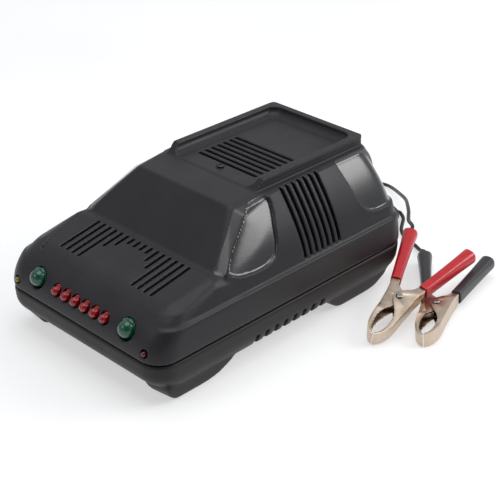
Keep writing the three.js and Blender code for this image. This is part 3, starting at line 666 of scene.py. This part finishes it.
def coverForm(name, inset):
    t = inset
    c = caseForm
    bottom = c["seamZ"] - 4 if inset > 1.5 else c["seamZ"]
    skirt = []
    for i in range(9):
        rise = i / 8
        z = c["seamZ"] + (c["beltZ"] - t - c["seamZ"]) * rise
        skirt += ringPoints(c["halfWidth"] - t - 1.0 * rise**2, -c["halfLength"] + t + 7.5 * rise**2.2,
                            c["halfLength"] - t - 1.5 * rise**2, 13.5 - t, z if i else bottom)
    hood = []
    hood += ringPoints(62.4 - t, -92.5 + t, -30, 13 - t, c["beltZ"] - 0.1 - t)
    hood += ringPoints(61 - t, -90 + t, -30, 13 - t, 46.8 - t)
    hood += ringPoints(59.5 - t, -86 + t, -30, 12 - t, 49.6 - t)
    hood += ringPoints(56.5 - t, -82.5 + t, -30, 10 - t, 51.3 - t)
    hood += bothSides([(52 - t, c["deckFrontY"] + t, c["deckFrontZ"] - t), (58.6 - t, -52, 54 - t),
                       (56 - t, -52, 56.4 - t), (52 - t, -52, 57.3 - t), (52 - t, -30, 57.3 - t),
                       (59.6 - t, -30, 51 - t)])
    cabin = []
    for i in range(13):
        rise = i / 12
        z = 43.5 + 38.7 * rise
        cabin += ringPoints(61.8 - t - 20 * rise**1.5, -62 + 58 * rise**0.8 + t, 98.2 - t - 7 * rise**1.8,
                            12.5 - t,
                            z - t * (rise > 0.2))
    foot, top = c["screenFoot"], c["screenTop"]
    cabin += bothSides([(foot[0] - t, foot[1] + t, foot[2] - t), (57 - t, -43 + t, 57 - t),
                        (top[0] - t, top[1] + t, top[2] - t), (44.6 - t, -17.3 + t, 77.6 - t),
                        (38.5 - t, -3, 82.8 - t), (38.5 - t, 86, 82.8 - t)])
    form = hullBlock(name, skirt)
    return combine(form, [hullBlock("hood", hood), hullBlock("cabin", cabin)], "UNION")


def rimFrame():
    c = caseForm
    w = c["trayHalf"]

    def corner(cx, cy, radius, first):
        return [(cx + radius * math.cos(first + i * math.pi / 16),
                 cy + radius * math.sin(first + i * math.pi / 16))
                for i in range(9)]
    outer = [(w, -1), *corner(w - 2.6, c["trayRearY"] - 2.6, 2.6, 0),
             *corner(-w + 2.6, c["trayRearY"] - 2.6, 2.6, math.pi / 2), (-w, -1)]
    rim = prism("rim", outer, c["trayFloorZ"] - 3, c["rimZ"])
    layers = []
    for depth, width in ((0, 4.3), (1.5, 4.5), (2.8, 5.0), (3.8, 5.9), (4.6, 7.2), (5.25, 9.2)):
        inner = w - width
        z = c["rimZ"] - depth
        for cx, cy, quarter in ((inner - 7, c["trayRearY"] - width - 7, 0),
                                (-inner + 7, c["trayRearY"] - width - 7, 1)):
            layers += [(x, y, z) for x, y in corner(cx, cy, 7, quarter * math.pi / 2)]
        layers += [(inner, -20, z), (-inner, -20, z)]
    top = [(x, y, c["rimZ"] + 4) for x, y, z in layers if z == c["rimZ"]]
    hollow = hullBlock("trayHollow", layers + top)
    ramp = prism("ramp",
                 [(-12, c["trayFloorZ"] - 0.3), (-0.5, c["trayFloorZ"] - 0.3), (5.5, c["rimZ"] + 0.1),
                  (5.5, 99),
                          (-12, 99)], -60, 60, "X")
    band = prism("band",
                 [(sx * (w - 0.7), y) for sx,
                  y in ((1, -5), (1, c["trayRearY"] - 0.7), (-1, c["trayRearY"] - 0.7),
                                                            (-1, -5))], c["trayFloorZ"] - 4, 99)
    ring = prism("ring", [(-50, -6), (50, -6), (50, 99), (-50, 99)], c["rimZ"] - 3.4, c["rimZ"] - 2.5)
    combine(ring, [band], "DIFFERENCE")                 # fine groove under the rim's upper band
    return combine(rim, [hollow, ramp, ring], "DIFFERENCE")


windowOutlines = {
    "front": [(-40.5, 57.2), (-37.5, 54.2), (-28, 52.4), (-17, 52.1), (-9, 54), (-4.9, 58), (-1.0, 68),
              (2.4, 76.5), (2.9, 80.6),
              (-1, 82.6), (-8, 82), (-16.2, 77.2)],
    "rear": [(59.4, 82.2), (60.2, 76), (61.7, 70), (64, 61.6), (68.2, 55.3), (74.6, 52.6), (88.4, 52.2),
             (104, 53),
             (104, 82.2)],
}


# glossy band that carries the window on
pillarOutline = [(-47.4, 57.4), (-40, 54.4), (-37, 56), (-12.5, 78), (-12.5, 81), (-20.5, 80.5)]


def roundedOutline(outline):
    closed = [(y, z, 0) for y, z in outline]
    looped = smoothThrough([closed[-1], *closed, closed[0], closed[1]], 6)
    inside = looped[6:6 * (len(closed) + 1)]
    return [(p.x, p.y) for p in inside]


def makeWindowCutters():
    cutters = []
    for outline in windowOutlines.values():
        loop = roundedOutline(outline)
        for low, high in ((40, 72), (-72, -40)):
            cutters.append(prism("window", loop, low, high, "X"))
    core = remesh(coverForm("windowCore", 1.3), fine * 2.2, 25)
    cutter = cutters[0]
    combine(cutter, cutters[1:], "UNION")
    return combine(cutter, [core], "DIFFERENCE")


lampSpots = {
    "lamp_yellow": (-53, 32.4, 1.5), "lamp_green_left": (-37, 39, 5), "lamp_green_right": (37, 39, 5),
    "lamp_dark_red": (53, 32.4, 1.5),
    **{f"lamp_red_{i + 1}": (8 * (i - 2.5), 38.3, 2.5) for i in range(6)},
}
lampSeatY = -93.4


def roundBar(name, x, z, low, high, radius, steps=28):
    outline = [(x + radius * math.cos(2 * math.pi * i / steps),
                z + radius * math.sin(2 * math.pi * i / steps))
               for i in range(steps)]
    return prism(name, outline, low, high, "Y")


def coverCutters():
    cutters = []
    fronts = [-79.8, -79.8, -79.8, -79.8, -66, -61.5, -57, -57]
    for side in (1, -1):
        for i, frontY in enumerate(fronts):
            x = side * 4.96 * (7.5 - i)
            cutters.append(prism("deckSlot", slotOutline(frontY, -51, x, 1.0, alongFirst=False), 40, 70))
        for i in range(7):
            y = 13.5 + 4.7 * i
            low = min(side * 30, side * 72)
            cutters.append(prism("sideSlot", slotOutline(46, 82.4, y, slotHalf, alongFirst=False), low,
                                 low + 42, "X"))
    for i in range(7):
        cutters.append(prism("traySlot", slotOutline(-23.6, 23.6, 13 + 4.9 * i, slotHalf), 72, 90))
    for x, z, radius in lampSpots.values():
        cutters.append(roundBar("lampSeat", x, z, -120, lampSeatY - 0.3, radius + 1.0))
        cutters.append(roundBar("lampHole", x, z, -95, -80, radius + 0.3))
    cutters.append(lathe("trayPilot", [(0, 74), (1.7, 74), (1.7, 83.6), (2.7, 84.6), (0, 84.6)], 24))
    cutters[-1].data.transform(Matrix.Translation((0, 7.6, 0)))
    # fine line on the left
    groove = prism("groove", [(-55.6, -43), (-54.4, -43), (-45.9, -86), (-47.1, -86)], 30, 70)
    cutters.append(combine(groove, [coverForm("grooveCore", 1.0)], "DIFFERENCE"))
    return cutters


def markGloss(piece):
    loops = [roundedOutline(outline) for outline in windowOutlines.values()] + [pillarOutline]
    values = []
    for vertex in piece.data.vertices:
        x, y, z = vertex.co
        inside = False
        if abs(x) > 39 and 50 < z < 82 and (y < 5 or y > 56):
            for loop in loops:
                hit = False
                for i, (y1, z1) in enumerate(loop):
                    y2, z2 = loop[i - 1]
                    if (z1 > z) != (z2 > z) and y < (y2 - y1) * (z - z1) / (z2 - z1) + y1:
                        hit = not hit
                inside = inside or hit
        values.append(1.0 if inside else 0.0)
    layer = piece.data.attributes.new("glossArea", "FLOAT", "POINT")
    layer.data.foreach_set("value", values)


def makeCover():
    c = caseForm
    shell = coverForm("top_cover_shell", 0)
    remesh(shell, fine * 1.5, 5)
    plinth = prism("plinth",
                   [(-c["trayHalf"], -0.2), (c["trayHalf"], -0.2), (c["trayHalf"], 84),
                    (-c["trayHalf"], 84)],
                   78, c["trayFloorZ"])
    combine(shell, [plinth, rimFrame()], "UNION")
    hollow = coverForm("coverHollow", c["wall"])
    posts = []
    for x in (-38, 38):
        for y, top in ((-77, 51), (82, 81)):
            post = lathe("screwPost", [(0, 26), (1.8, 26), (1.8, 25), (4, 25), (4, top), (0, top)], 24)
            post.data.transform(Matrix.Translation((x, y, 0)))
            posts.append(post)
    lowCut = prism("lowCut", [(-90, -120), (90, -120), (90, 120), (-90, 120)], 0, c["seamZ"])
    combine(shell, [hollow], "DIFFERENCE")
    combineAll(shell, posts, "UNION")
    cutters = [makeWindowCutters(), *coverCutters()]
    combineAll(shell, cutters, "DIFFERENCE")
    remesh(shell, fine, 2)
    combine(shell, [lowCut], "DIFFERENCE")
    holes = []
    for x in (-screwAcross, screwAcross):
        for y in (screwFrontY, screwRearY):
            hole = lathe("pilot", [(0, 20), (pilotRadius, 20), (pilotRadius, 42), (0, 42)], 20)
            hole.data.transform(Matrix.Translation((x, y, 0)))
            holes.append(hole)
    combineAll(shell, holes, "DIFFERENCE")
    markGloss(shell)
    shadeSmooth(shell, 60)
    addPiece(shell, finish["cover"], replaces=["top_cover"])
    print("cover made:", len(shell.data.polygons), "faces")
    return shell


makeCover()

baseForm = {
    "floorZ": 8.4, "wall": 2.4, "topZ": 26.3,
    "feet": [(-84, -64, -93, -40), (46, 70, 33, 88)],     # pad front, pad rear, sweep front, sweep rear
    "ventPitch": 7.5, "ventStart": -27, "ventHalf": 1.6, "ventTop": 16.4,
    "screws": [(x, y) for y in (screwFrontY, screwRearY) for x in (-screwAcross, screwAcross)],
}


def tubForm(name, inset, topZ):
    t = inset
    c = caseForm
    points = ringPoints(c["halfWidth"] - t, -c["halfLength"] + t, c["halfLength"] - t, 13.5 - t, topZ)
    for i in range(9):
        sink = i / 8
        z = 21 - (21 - baseForm["floorZ"]) * sink
        pull = 0.2 + 4.2 * sink**2.6
        points += ringPoints(c["halfWidth"] - t - pull, -c["halfLength"] + t + 0.4 + 10 * sink**2.6,
                             c["halfLength"] - t - 0.4 - 9 * sink**2.6, 13.5 - t, z + t)
    return hullBlock(name, points)


def makeFoot(side, padFront, padRear, sweepFront, sweepRear):
    slices = []
    for i in range(9):
        rise = i / 8
        ease = 1 - (1 - rise) ** 1.7
        z = 11 * (1 - math.cos(rise * math.pi / 2)) ** 0.8
        front = padFront + (sweepFront - padFront) * ease
        rear = padRear + (sweepRear - padRear) * ease
        for y, x in ((front, 46.5 - 3 * rise), (rear, 46.5 - 3 * rise),
                     (front + 2, 59 + 3.2 * rise**0.5), (rear - 2, 59 + 3.2 * rise**0.5)):
            slices.append((side * x, y, z))
    return hullBlock("foot", slices)


def makeTub():
    c = baseForm
    tub = tubForm("base_tub_shell", 0, c["topZ"])
    feet = [makeFoot(side, *foot) for side in (1, -1) for foot in c["feet"]]
    combineAll(tub, feet, "UNION")
    remesh(tub, fine * 1.6, 8)
    pads = [hullBlock("pad", [(x + dx, y, z) for dx in (-8, 8) for y in (92, 100.4) for z in (8.6, 26.4)])
            for x in (-20, 25)]
    combineAll(tub, pads, "UNION")
    hollow = tubForm("tubHollow", c["wall"], c["topZ"] + 3)
    combine(tub, [hollow], "DIFFERENCE")
    bosses = []
    cutters = []
    for x, y in c["screws"]:
        boss = lathe("boss", [(0, c["floorZ"]), (5, c["floorZ"]), (5, 24.6), (0, 24.6)], 28)
        hole = lathe("screwHole", [(0, 5), (3.5, 5), (3.5, 13.6), (1.75, 13.6), (1.75, 30), (0, 30)], 24)
        for part, group in ((boss, bosses), (hole, cutters)):
            part.data.transform(Matrix.Translation((x, y, 0)))
            group.append(part)
    combineAll(tub, bosses, "UNION")
    for side in (1, -1):
        for i in range(8):
            y = c["ventStart"] + c["ventPitch"] * i
            outline = slotOutline(3, c["ventTop"], y, c["ventHalf"], alongFirst=False)
            cutters.append(prism("vent", outline, min(side * 57, side * 70), max(side * 57, side * 70), "X"))
    cutters.append(hullBlock("glandHole",
                             [(-20 + x * 4.6, y, 14 + z * 2.9) for x in (-1, 1) for y in (80, 110)
                                           for z in (-1, 1)]))
    cutters.append(roundBar("mainsHole", 25, 17, 80, 110, 5.1))
    combineAll(tub, cutters, "DIFFERENCE")
    remesh(tub, fine, 2)
    trim = prism("trim", [(-90, -120), (90, -120), (90, 120), (-90, 120)], c["topZ"], 40)
    combine(tub, [trim], "DIFFERENCE")
    shadeSmooth(tub, 60)
    addPiece(tub, finish["tub"], replaces=["base_tub"])
    print("tub made:", len(tub.data.polygons), "faces")


makeTub()


# ---- lamps

lampLook = {"lamp_yellow": ("lampYellow", -100.4, "lamp_yellow"),
            "lamp_dark_red": ("lampDarkRed", -100.4, "lamp_dark_red"),
            "lamp_green_left": ("lampGreen", -101, "lamp_green"),
            "lamp_green_right": ("lampGreen", -101, "lamp_green"),
            **{f"lamp_red_{i}": ("lampRed", -100.2, "lamp_red") for i in range(1, 7)}}


def makeLamp(name, x, z, radius):
    look, tipY, slotName = lampLook[name]
    domeY = tipY + radius
    collar = radius + min(0.5, radius * 0.25)
    dome = [(radius * math.sin(a * math.pi / 24),
             domeY - radius * math.cos(a * math.pi / 24)) for a in range(13)]
    profile = [*dome, (radius, -95.1), (collar - 0.1, -95), (collar, -94.85), (collar, -94.1),
               (collar - 0.1, -94),
               (radius - 0.05, -94), (radius - 0.05, -88.5), (0, -88.5)]
    bulb = lathe(name, profile, 40, "Y")
    bulb.data.transform(Matrix.Translation((x, 0, z)))
    shadeSmooth(bulb, 40)
    addPiece(bulb, finish[look], replaces=[name])
    cup = lathe(f"{name}_cup", [(0, -89.2), (radius * 0.5, -89.2), (radius * 0.5, domeY + radius * 0.35),
                                (radius * 0.36, domeY + radius * 0.1), (radius * 0.14, domeY + radius * 0.4),
                                (0, domeY + radius * 0.4)], 24, "Y")
    cup.data.transform(Matrix.Translation((x, 0, z)))
    shadeSmooth(cup, 40)
    addPiece(cup, finish["zincSteel"])


for name, (x, z, radius) in lampSpots.items():
    makeLamp(name, x, z, radius)
print("lamps made")


# ---- gland, grommet and screws

def makeGland():
    def ring(halfX, halfZ, y):
        points = []
        for i in range(40):
            angle = i * math.pi / 20
            offset = (halfX - halfZ) * (1 if math.cos(angle) > 0.001
                                        else -1 if math.cos(angle) < -0.001 else 0)
            points.append((-20 + offset + halfZ * math.cos(angle), y, 14 + halfZ * math.sin(angle)))
        return points
    parts = [hullBlock("collar", ring(6.1, 4.1, 100.7) + ring(6.4, 4.4, 101.1) + ring(6.2, 4.2, 102.2)),
             hullBlock("taper", ring(4.7, 2.9, 101.5) + ring(3.5, 1.7, 112.5)),
             hullBlock("neck", ring(4.3, 2.6, 96) + ring(4.3, 2.6, 101.5))]
    for i in range(4):                                  # flexing ribs round the taper
        y = 103.9 + 2.2 * i
        shrink = 0.24 * i
        parts.append(hullBlock("rib",
                               ring(5.1 - shrink, 3.3 - shrink, y) + ring(5.1 - shrink, 3.3 - shrink,
                                                                          y + 0.9)))
    gland = combine(parts[0], parts[1:], "UNION")
    rounding = gland.modifiers.new("rounding", "BEVEL")
    rounding.width = 0.18
    rounding.segments = 2
    rounding.limit_method = "ANGLE"
    cook(gland)
    gland.name = "lead_gland_rubber"
    shadeSmooth(gland, 45)
    addPiece(gland, finish["glandRubber"], replaces=["lead_gland"])


def bmeshClean(piece):
    bm = bmesh.new()
    bm.from_mesh(piece.data)
    bmesh.ops.remove_doubles(bm, verts=bm.verts, dist=1e-4)
    bmesh.ops.recalc_face_normals(bm, faces=bm.faces)
    bm.to_mesh(piece.data)
    bm.free()


def makeGrommet():
    profile = [(3.3, 96), (4.7, 96), (4.7, 100.6), (6.8, 100.6), (7, 100.8), (7, 101.8), (6.7, 102.5),
               (6.1, 102.95),
               (3.7, 103), (3.3, 102.6), (3.3, 96)]
    grommet = lathe("mains_grommet_rubber", profile, 48, "Y")
    bmeshClean(grommet)
    grommet.data.transform(Matrix.Translation((25, 0, 17)))
    shadeSmooth(grommet, 45)
    addPiece(grommet, finish["glandRubber"], replaces=["mains_grommet"])


def makeScrew(name, head, headHeight, shaft, length, place, look="zincSteel", flip=False):
    crown = [(head * math.cos(a * math.pi / 16), headHeight * (0.35 + 0.65 * math.sin(a * math.pi / 16)))
             for a in range(9)]
    thread = []
    turns = int(length / 1.1)
    for i in range(turns):
        z = -length + 1.2 + (length - 1.2) * i / turns
        thread += [(shaft * 0.8, z), (shaft, z + 0.4)]
    profile = [(0, -length), *thread, (shaft * 0.9, 0), (head * 0.97, 0), *crown]
    profile[-1] = (0, headHeight)
    screw = lathe(name, profile, 32)
    cross = []
    for turned in (0, 90):
        slot = hullBlock("cross", [(x * head * 0.55 * s, y * head * 0.14 * s, z)
                                   for z, s in ((headHeight + 0.1, 1.0), (headHeight * 0.25, 0.45))
                                   for x in (-1, 1) for y in (-1, 1)])
        slot.data.transform(Matrix.Rotation(math.radians(turned + 20), 4, "Z"))
        cross.append(slot)
    combineAll(screw, cross, "DIFFERENCE")
    if flip:
        screw.data.transform(Matrix.Rotation(math.pi, 4, "X"))
    screw.data.transform(Matrix.Translation(place))
    shadeSmooth(screw, 40)
    addPiece(screw, finish[look], replaces=[name])


makeGland()
makeGrommet()
makeScrew("tray_screw", 2.2, 1.3, 1.3, 8, (0, 7.6, 83.7), look="darkSteel")
for i, (x, y) in enumerate(baseForm["screws"]):
    makeScrew(f"base_screw_{i + 1}", 3, 2, 1.35, 22, (x, y, 13.7), flip=True)
print("gland, grommet and screws made")


# ---- clamps

clampForm = {
    "outerEdge": [(-12.2, 10.7), (-8, 9.9), (-2, 9), (5, 8.4), (13, 7.7), (20, 7.4), (25.5, 6.7), (30, 5.3),
                  (33.5, 3), (35.4, 0.3)],
    "armOuter": [(-54, 20.4), (-12.7, 10.2)],
    "jawInner": [(34.2, 0.3), (31, 2.7), (26, 4.2), (18, 4.3), (12.7, 2.9)],
    "pivotEdge": [(2, -3.2), (-1.4, -3.4), (-3.6, -2.4), (-5, -0.6), (-9.3, 4.4), (-13.3, 5.9)],
    "armInner": [(-14, 7.1), (-54, 17)],
    "sheet": 0.8, "jawHalf": 4.2, "armHalf": 3.0, "toothPitch": 1.9, "toothDepth": 0.8,
}


def flat(points):
    return [(p.x, p.y) for p in smoothThrough([(x, y, 0) for x, y in points], 5)]


def heightBand(jawHalf, pivotHalf, armHalf):
    profile = [(-60, armHalf), (-13.5, armHalf), (-7, pivotHalf), (9, pivotHalf), (14, jawHalf),
               (40, jawHalf)]
    return prism("band", [(x, -z) for x, z in profile] + profile[::-1], -40, 40, "Y")


def insetEdge(points, distance):
    moved = []
    for i, (x, y) in enumerate(points):
        x0, y0 = points[max(i - 1, 0)]
        x1, y1 = points[min(i + 1, len(points) - 1)]
        size = math.hypot(x1 - x0, y1 - y0)
        moved.append((x + distance * (y1 - y0) / size, y - distance * (x1 - x0) / size))
    return moved


def toothCutters(edge):
    c = clampForm
    cutters = []
    walked = 0.0
    for (x0, y0), (x1, y1) in zip(edge, edge[1:]):
        step = math.hypot(x1 - x0, y1 - y0)
        walked += step
        if walked > c["toothPitch"] and 15 < x1 < 33.2:
            walked = 0.0
            ux, uy = (x1 - x0) / step, (y1 - y0) / step
            nx, ny = uy, -ux
            if ny < 0:
                nx, ny = -nx, -ny
            tooth = [(x1 - ux * 0.5 - nx * 0.2, y1 - uy * 0.5 - ny * 0.2),
                     (x1 + ux * 0.5 - nx * 0.2, y1 + uy * 0.5 - ny * 0.2),
                     (x1 + nx * c["toothDepth"], y1 + ny * c["toothDepth"])]
            cutters.append(prism("tooth", tooth, -10, 10))
    return cutters


def makeJaw(name, pivotHalf, side):
    c = clampForm
    outer = [*c["armOuter"], *flat(c["outerEdge"])]
    jawInner = flat(c["jawInner"])
    loop = [*outer, *jawInner, *flat(c["pivotEdge"]), *c["armInner"]]
    jaw = prism(name, loop, -10, 10)
    combine(jaw, [heightBand(c["jawHalf"], pivotHalf, c["armHalf"])], "INTERSECT")
    inset = insetEdge(outer, c["sheet"])
    inset[-1] = (34.4, 0.2)
    hollow = prism("hollow", [*inset, (34.4, -6), (-60, -6), (-60, inset[0][1])], -10, 10)
    t = c["sheet"]
    combine(hollow, [heightBand(c["jawHalf"] - t, pivotHalf - t, c["armHalf"] - t)], "INTERSECT")
    pin = lathe("pin", [(0, -10), (1.75, -10), (1.75, 10), (0, 10)], 32)
    cutters = [hollow, pin, *toothCutters(jawInner)]
    for cutter in cutters:
        combine(jaw, [cutter], "DIFFERENCE")
    if side < 0:
        jaw.data.transform(Matrix.Scale(-1, 4, (0, 1, 0)))
        jaw.data.flip_normals()
    rounding = jaw.modifiers.new("rounding", "BEVEL")
    rounding.width = 0.16
    rounding.segments = 2
    rounding.limit_method = "ANGLE"
    rounding.angle_limit = math.radians(40)
    cook(jaw)
    shadeSmooth(jaw, 50)
    return jaw


def makeSleeve(name, side):
    def section(x, y, across, height):
        points = []
        power = 0.5 + 0.35 * max(0.0, (across - 3.1) / 1.5) if across > 2.7 else 0.5
        for i in range(48):
            a = i * math.pi / 24
            u = across * math.copysign(abs(math.cos(a)) ** power, math.cos(a))
            v = height * math.copysign(abs(math.sin(a)) ** power, math.sin(a))
            points.append((x + u * 0.24, side * (y + u * 0.97), v))
        return points

    def along(x):
        return 8.7 + (x + 13.6) * (19.5 - 8.7) / (-57 + 13.6)
    stations = [(-54.8, 2.5, 3.65), (-34, 2.5, 3.65), (-15.5, 2.5, 3.65), (-13.8, 2.0, 3.3),
                (-13.55, 2.2, 3.5), (-13.5, 2.85, 4.0),
                (-13.65, 3.06, 4.16), (-14, 3.1, 4.2)]
    for i in range(1, 14):
        done = i / 13
        stations.append((-14 - 42.4 * done, 3.1 + 0.5 * done + 1.0 * done**3, 4.2 + 0.4 * done**2))
    stations += [(-56.75, 4.52, 4.55), (-57, 4.25, 4.3), (-57, 3.8, 3.85), (-56.8, 3.5, 3.55),
                 (-56.2, 3.35, 3.4),
                 (-56, 2.9, 2.9)]
    bm = bmesh.new()
    rings = [[bm.verts.new(p) for p in section(x, along(x), u, v)] for x, u, v in stations]
    for low, high in zip(rings, rings[1:]):
        for i in range(48):
            j = (i + 1) % 48
            bm.faces.new((low[i], low[j], high[j], high[i]))
    bm.faces.new(rings[0])
    bm.faces.new(rings[-1])
    bmesh.ops.recalc_face_normals(bm, faces=bm.faces)
    sleeve = objectFrom(name, bm)
    shadeSmooth(sleeve, 60)
    return sleeve


def makeRivet(name):
    head = [(0.0, 4.95), (0.5, 4.98), (0.95, 5.1), (1.5, 5.05), (1.9, 4.85), (2.1, 4.6), (2.05, 4.5),
            (1.4, 4.5)]
    profile = [(r, -z) for r, z in head] + head[::-1]
    rivet = lathe(name, profile, 40)
    shadeSmooth(rivet, 50)
    return rivet


def makeSpringHalf(name, side):
    points = [(-12.6, 8.2, 1.6), (-6, 4.9, 1.6)]
    for i in range(25):
        angle = math.pi * (0.52 - 2 * i / 24)
        points.append((2.5 * math.cos(angle), 2.5 * math.sin(angle), 1.6 - i / 24))
    route = smoothThrough(points, 3)
    curve = bpy.data.curves.new(name, "CURVE")
    curve.dimensions = "3D"
    curve.bevel_depth = 0.42 * mm
    curve.bevel_resolution = 3
    curve.use_fill_caps = True
    spline = curve.splines.new("POLY")
    spline.points.add(len(route) - 1)
    for i, point in enumerate(route):
        spline.points[i].co = (point.x, side * point.y, side * point.z, 1)
    return linkObject(name, curve)


def makeClamp(colour):
    place = clampMatrix(colour)
    half = f"{colour}_clamp_half"
    pieces = [
        (makeJaw(f"{colour}_jaw_fixed_steel", 3.1, -1), "clampSteel", "clamp_steel", "case", "jaw_fixed"),
        (makeJaw(f"{colour}_jaw_moving_steel", 4.2, 1), "clampSteel", "clamp_steel", half, "jaw_moving"),
        (makeSleeve(f"{colour}_sleeve_fixed_vinyl", -1), f"{colour}Vinyl", f"{colour}_vinyl", "case",
         "sleeve_fixed"),
        (makeSleeve(f"{colour}_sleeve_moving_vinyl", 1), f"{colour}Vinyl", f"{colour}_vinyl", half,
         "sleeve_moving"),
        (makeRivet(f"{colour}_rivet_head"), "springWire", "zinc", "case", "rivet"),
    ]
    for piece, look, slotName, body, part in pieces:
        addPiece(piece, finish[look], body, replaces=[f"{colour}_{part}"], matrix=place)
    for side, body, part in ((-1, "case", "spring_fixed"), (1, half, "spring_moving")):
        piece = makeSpringHalf(f"{colour}_{part}_wire", side)
        for point in piece.data.splines[0].points:
            point.co = (*(place @ Vector(point.co[:3])), 1)
        addPiece(piece, finish["springWire"], body, replaces=[f"{colour}_{part}"])


for colour in ("red", "black"):
    makeClamp(colour)
print("clamps made")


# ---- inner pieces keep their own shapes and get their finishes

innerFinish = {
    "lamp_board": "circuitBoard", "main_board": "circuitBoard", "heat_sink": "zincSteel",
    "rectifier_1": "component", "rectifier_2": "component", "capacitor": "component", "relay": "nylon",
    "fuse_holder": "zincSteel", "fuse": "fuseGlass", "transformer_core": "coreIron",
    "transformer_bobbin": "nylon", "transformer_winding": "copperWire", "transformer_strap": "zincSteel",
    "strap_screw_1": "zincSteel", "strap_screw_2": "zincSteel",
}
for nodeName, look in innerFinish.items():
    node = frame["nodes"][nodeName]
    node.data.materials.clear()
    node.data.materials.append(finish[look])


# ---- floor and light

floorMesh = bpy.data.meshes.new("studioFloor")
floorMesh.from_pydata([(-3, -3, 0), (3, -3, 0), (3, 3, 0), (-3, 3, 0)], [], [(0, 1, 2, 3)])
floor = linkObject("studioFloor", floorMesh)
floorFinish, floorTree, floorShader, floorWhere = newFinish("floorPaper")
paper = placeGroup(floorTree, mouldGrain, floorWhere, Grain=500.0, Mottle=6.0)
floorTree.links.new(mixColour(floorTree, paper.outputs["Mottling"], srgb(186, 186, 186),
                              srgb(194, 194, 194)),
                    floorShader.inputs["Base Color"])
floorShader.inputs["Roughness"].default_value = 0.8
floorTree.links.new(floorShader.inputs["Base Color"].links[0].from_socket,
                    floorShader.inputs["Emission Color"])
floorShader.inputs["Emission Strength"].default_value = 1.0
floorMesh.materials.append(floorFinish)

studio = {
    "overhead": {"place": (0.0, 0.0, 1.15), "aim": (0.0, 0.0, 0.05), "size": 0.9, "power": 5.0},
    "rightBox": {"place": (0.72, 0.8, 0.76), "aim": (0.0, 0.0, 0.05), "size": 0.6, "power": 6.5},
    "frontBox": {"place": (-0.3, -0.9, 0.75), "aim": (0.0, -0.05, 0.04), "size": 0.22, "power": 0.8},
}
for name, light in studio.items():
    lightData = bpy.data.lights.new(name, "AREA")
    lightData.energy = light["power"]
    lightData.size = light["size"]
    lamp = linkObject(name, lightData)
    lamp.location = light["place"]
    lamp.rotation_euler = (Vector(light["place"]) - Vector(light["aim"])).to_track_quat("Z", "Y").to_euler()

world = bpy.data.worlds.new("softRoom")
world.use_nodes = True
bpy.context.scene.world = world
room = world.node_tree
direction = addNode(room, "ShaderNodeTexCoord").outputs["Generated"]
height = addNode(room, "ShaderNodeSeparateXYZ", {"Vector": direction}).outputs["Z"]
ramp = addNode(room, "ShaderNodeValToRGB", {"Fac": height})
ramp.color_ramp.elements[0].position = 0.0
ramp.color_ramp.elements[0].color = (0.5, 0.51, 0.53, 1)
ramp.color_ramp.elements[1].position = 0.6
ramp.color_ramp.elements[1].color = (0.62, 0.64, 0.67, 1)
cameraSide = Vector((0.6, -0.5, 0.62)).normalized()     # the unlit side of the room, behind the camera
facing = addNode(room, "ShaderNodeVectorMath", operation="DOT_PRODUCT")
room.links.new(direction, facing.inputs[0])
facing.inputs[1].default_value = cameraSide
unlit = addNode(room, "ShaderNodeMapRange",
                {"Value": facing.outputs["Value"], "From Min": 0.7, "From Max": 0.96,
                                             "To Min": 0.95, "To Max": 0.12})
room.links.new(ramp.outputs["Color"], room.nodes["Background"].inputs["Color"])
room.links.new(unlit.outputs["Result"], room.nodes["Background"].inputs["Strength"])
bpy.context.scene.view_settings.view_transform = "Standard"
print("studio lit")
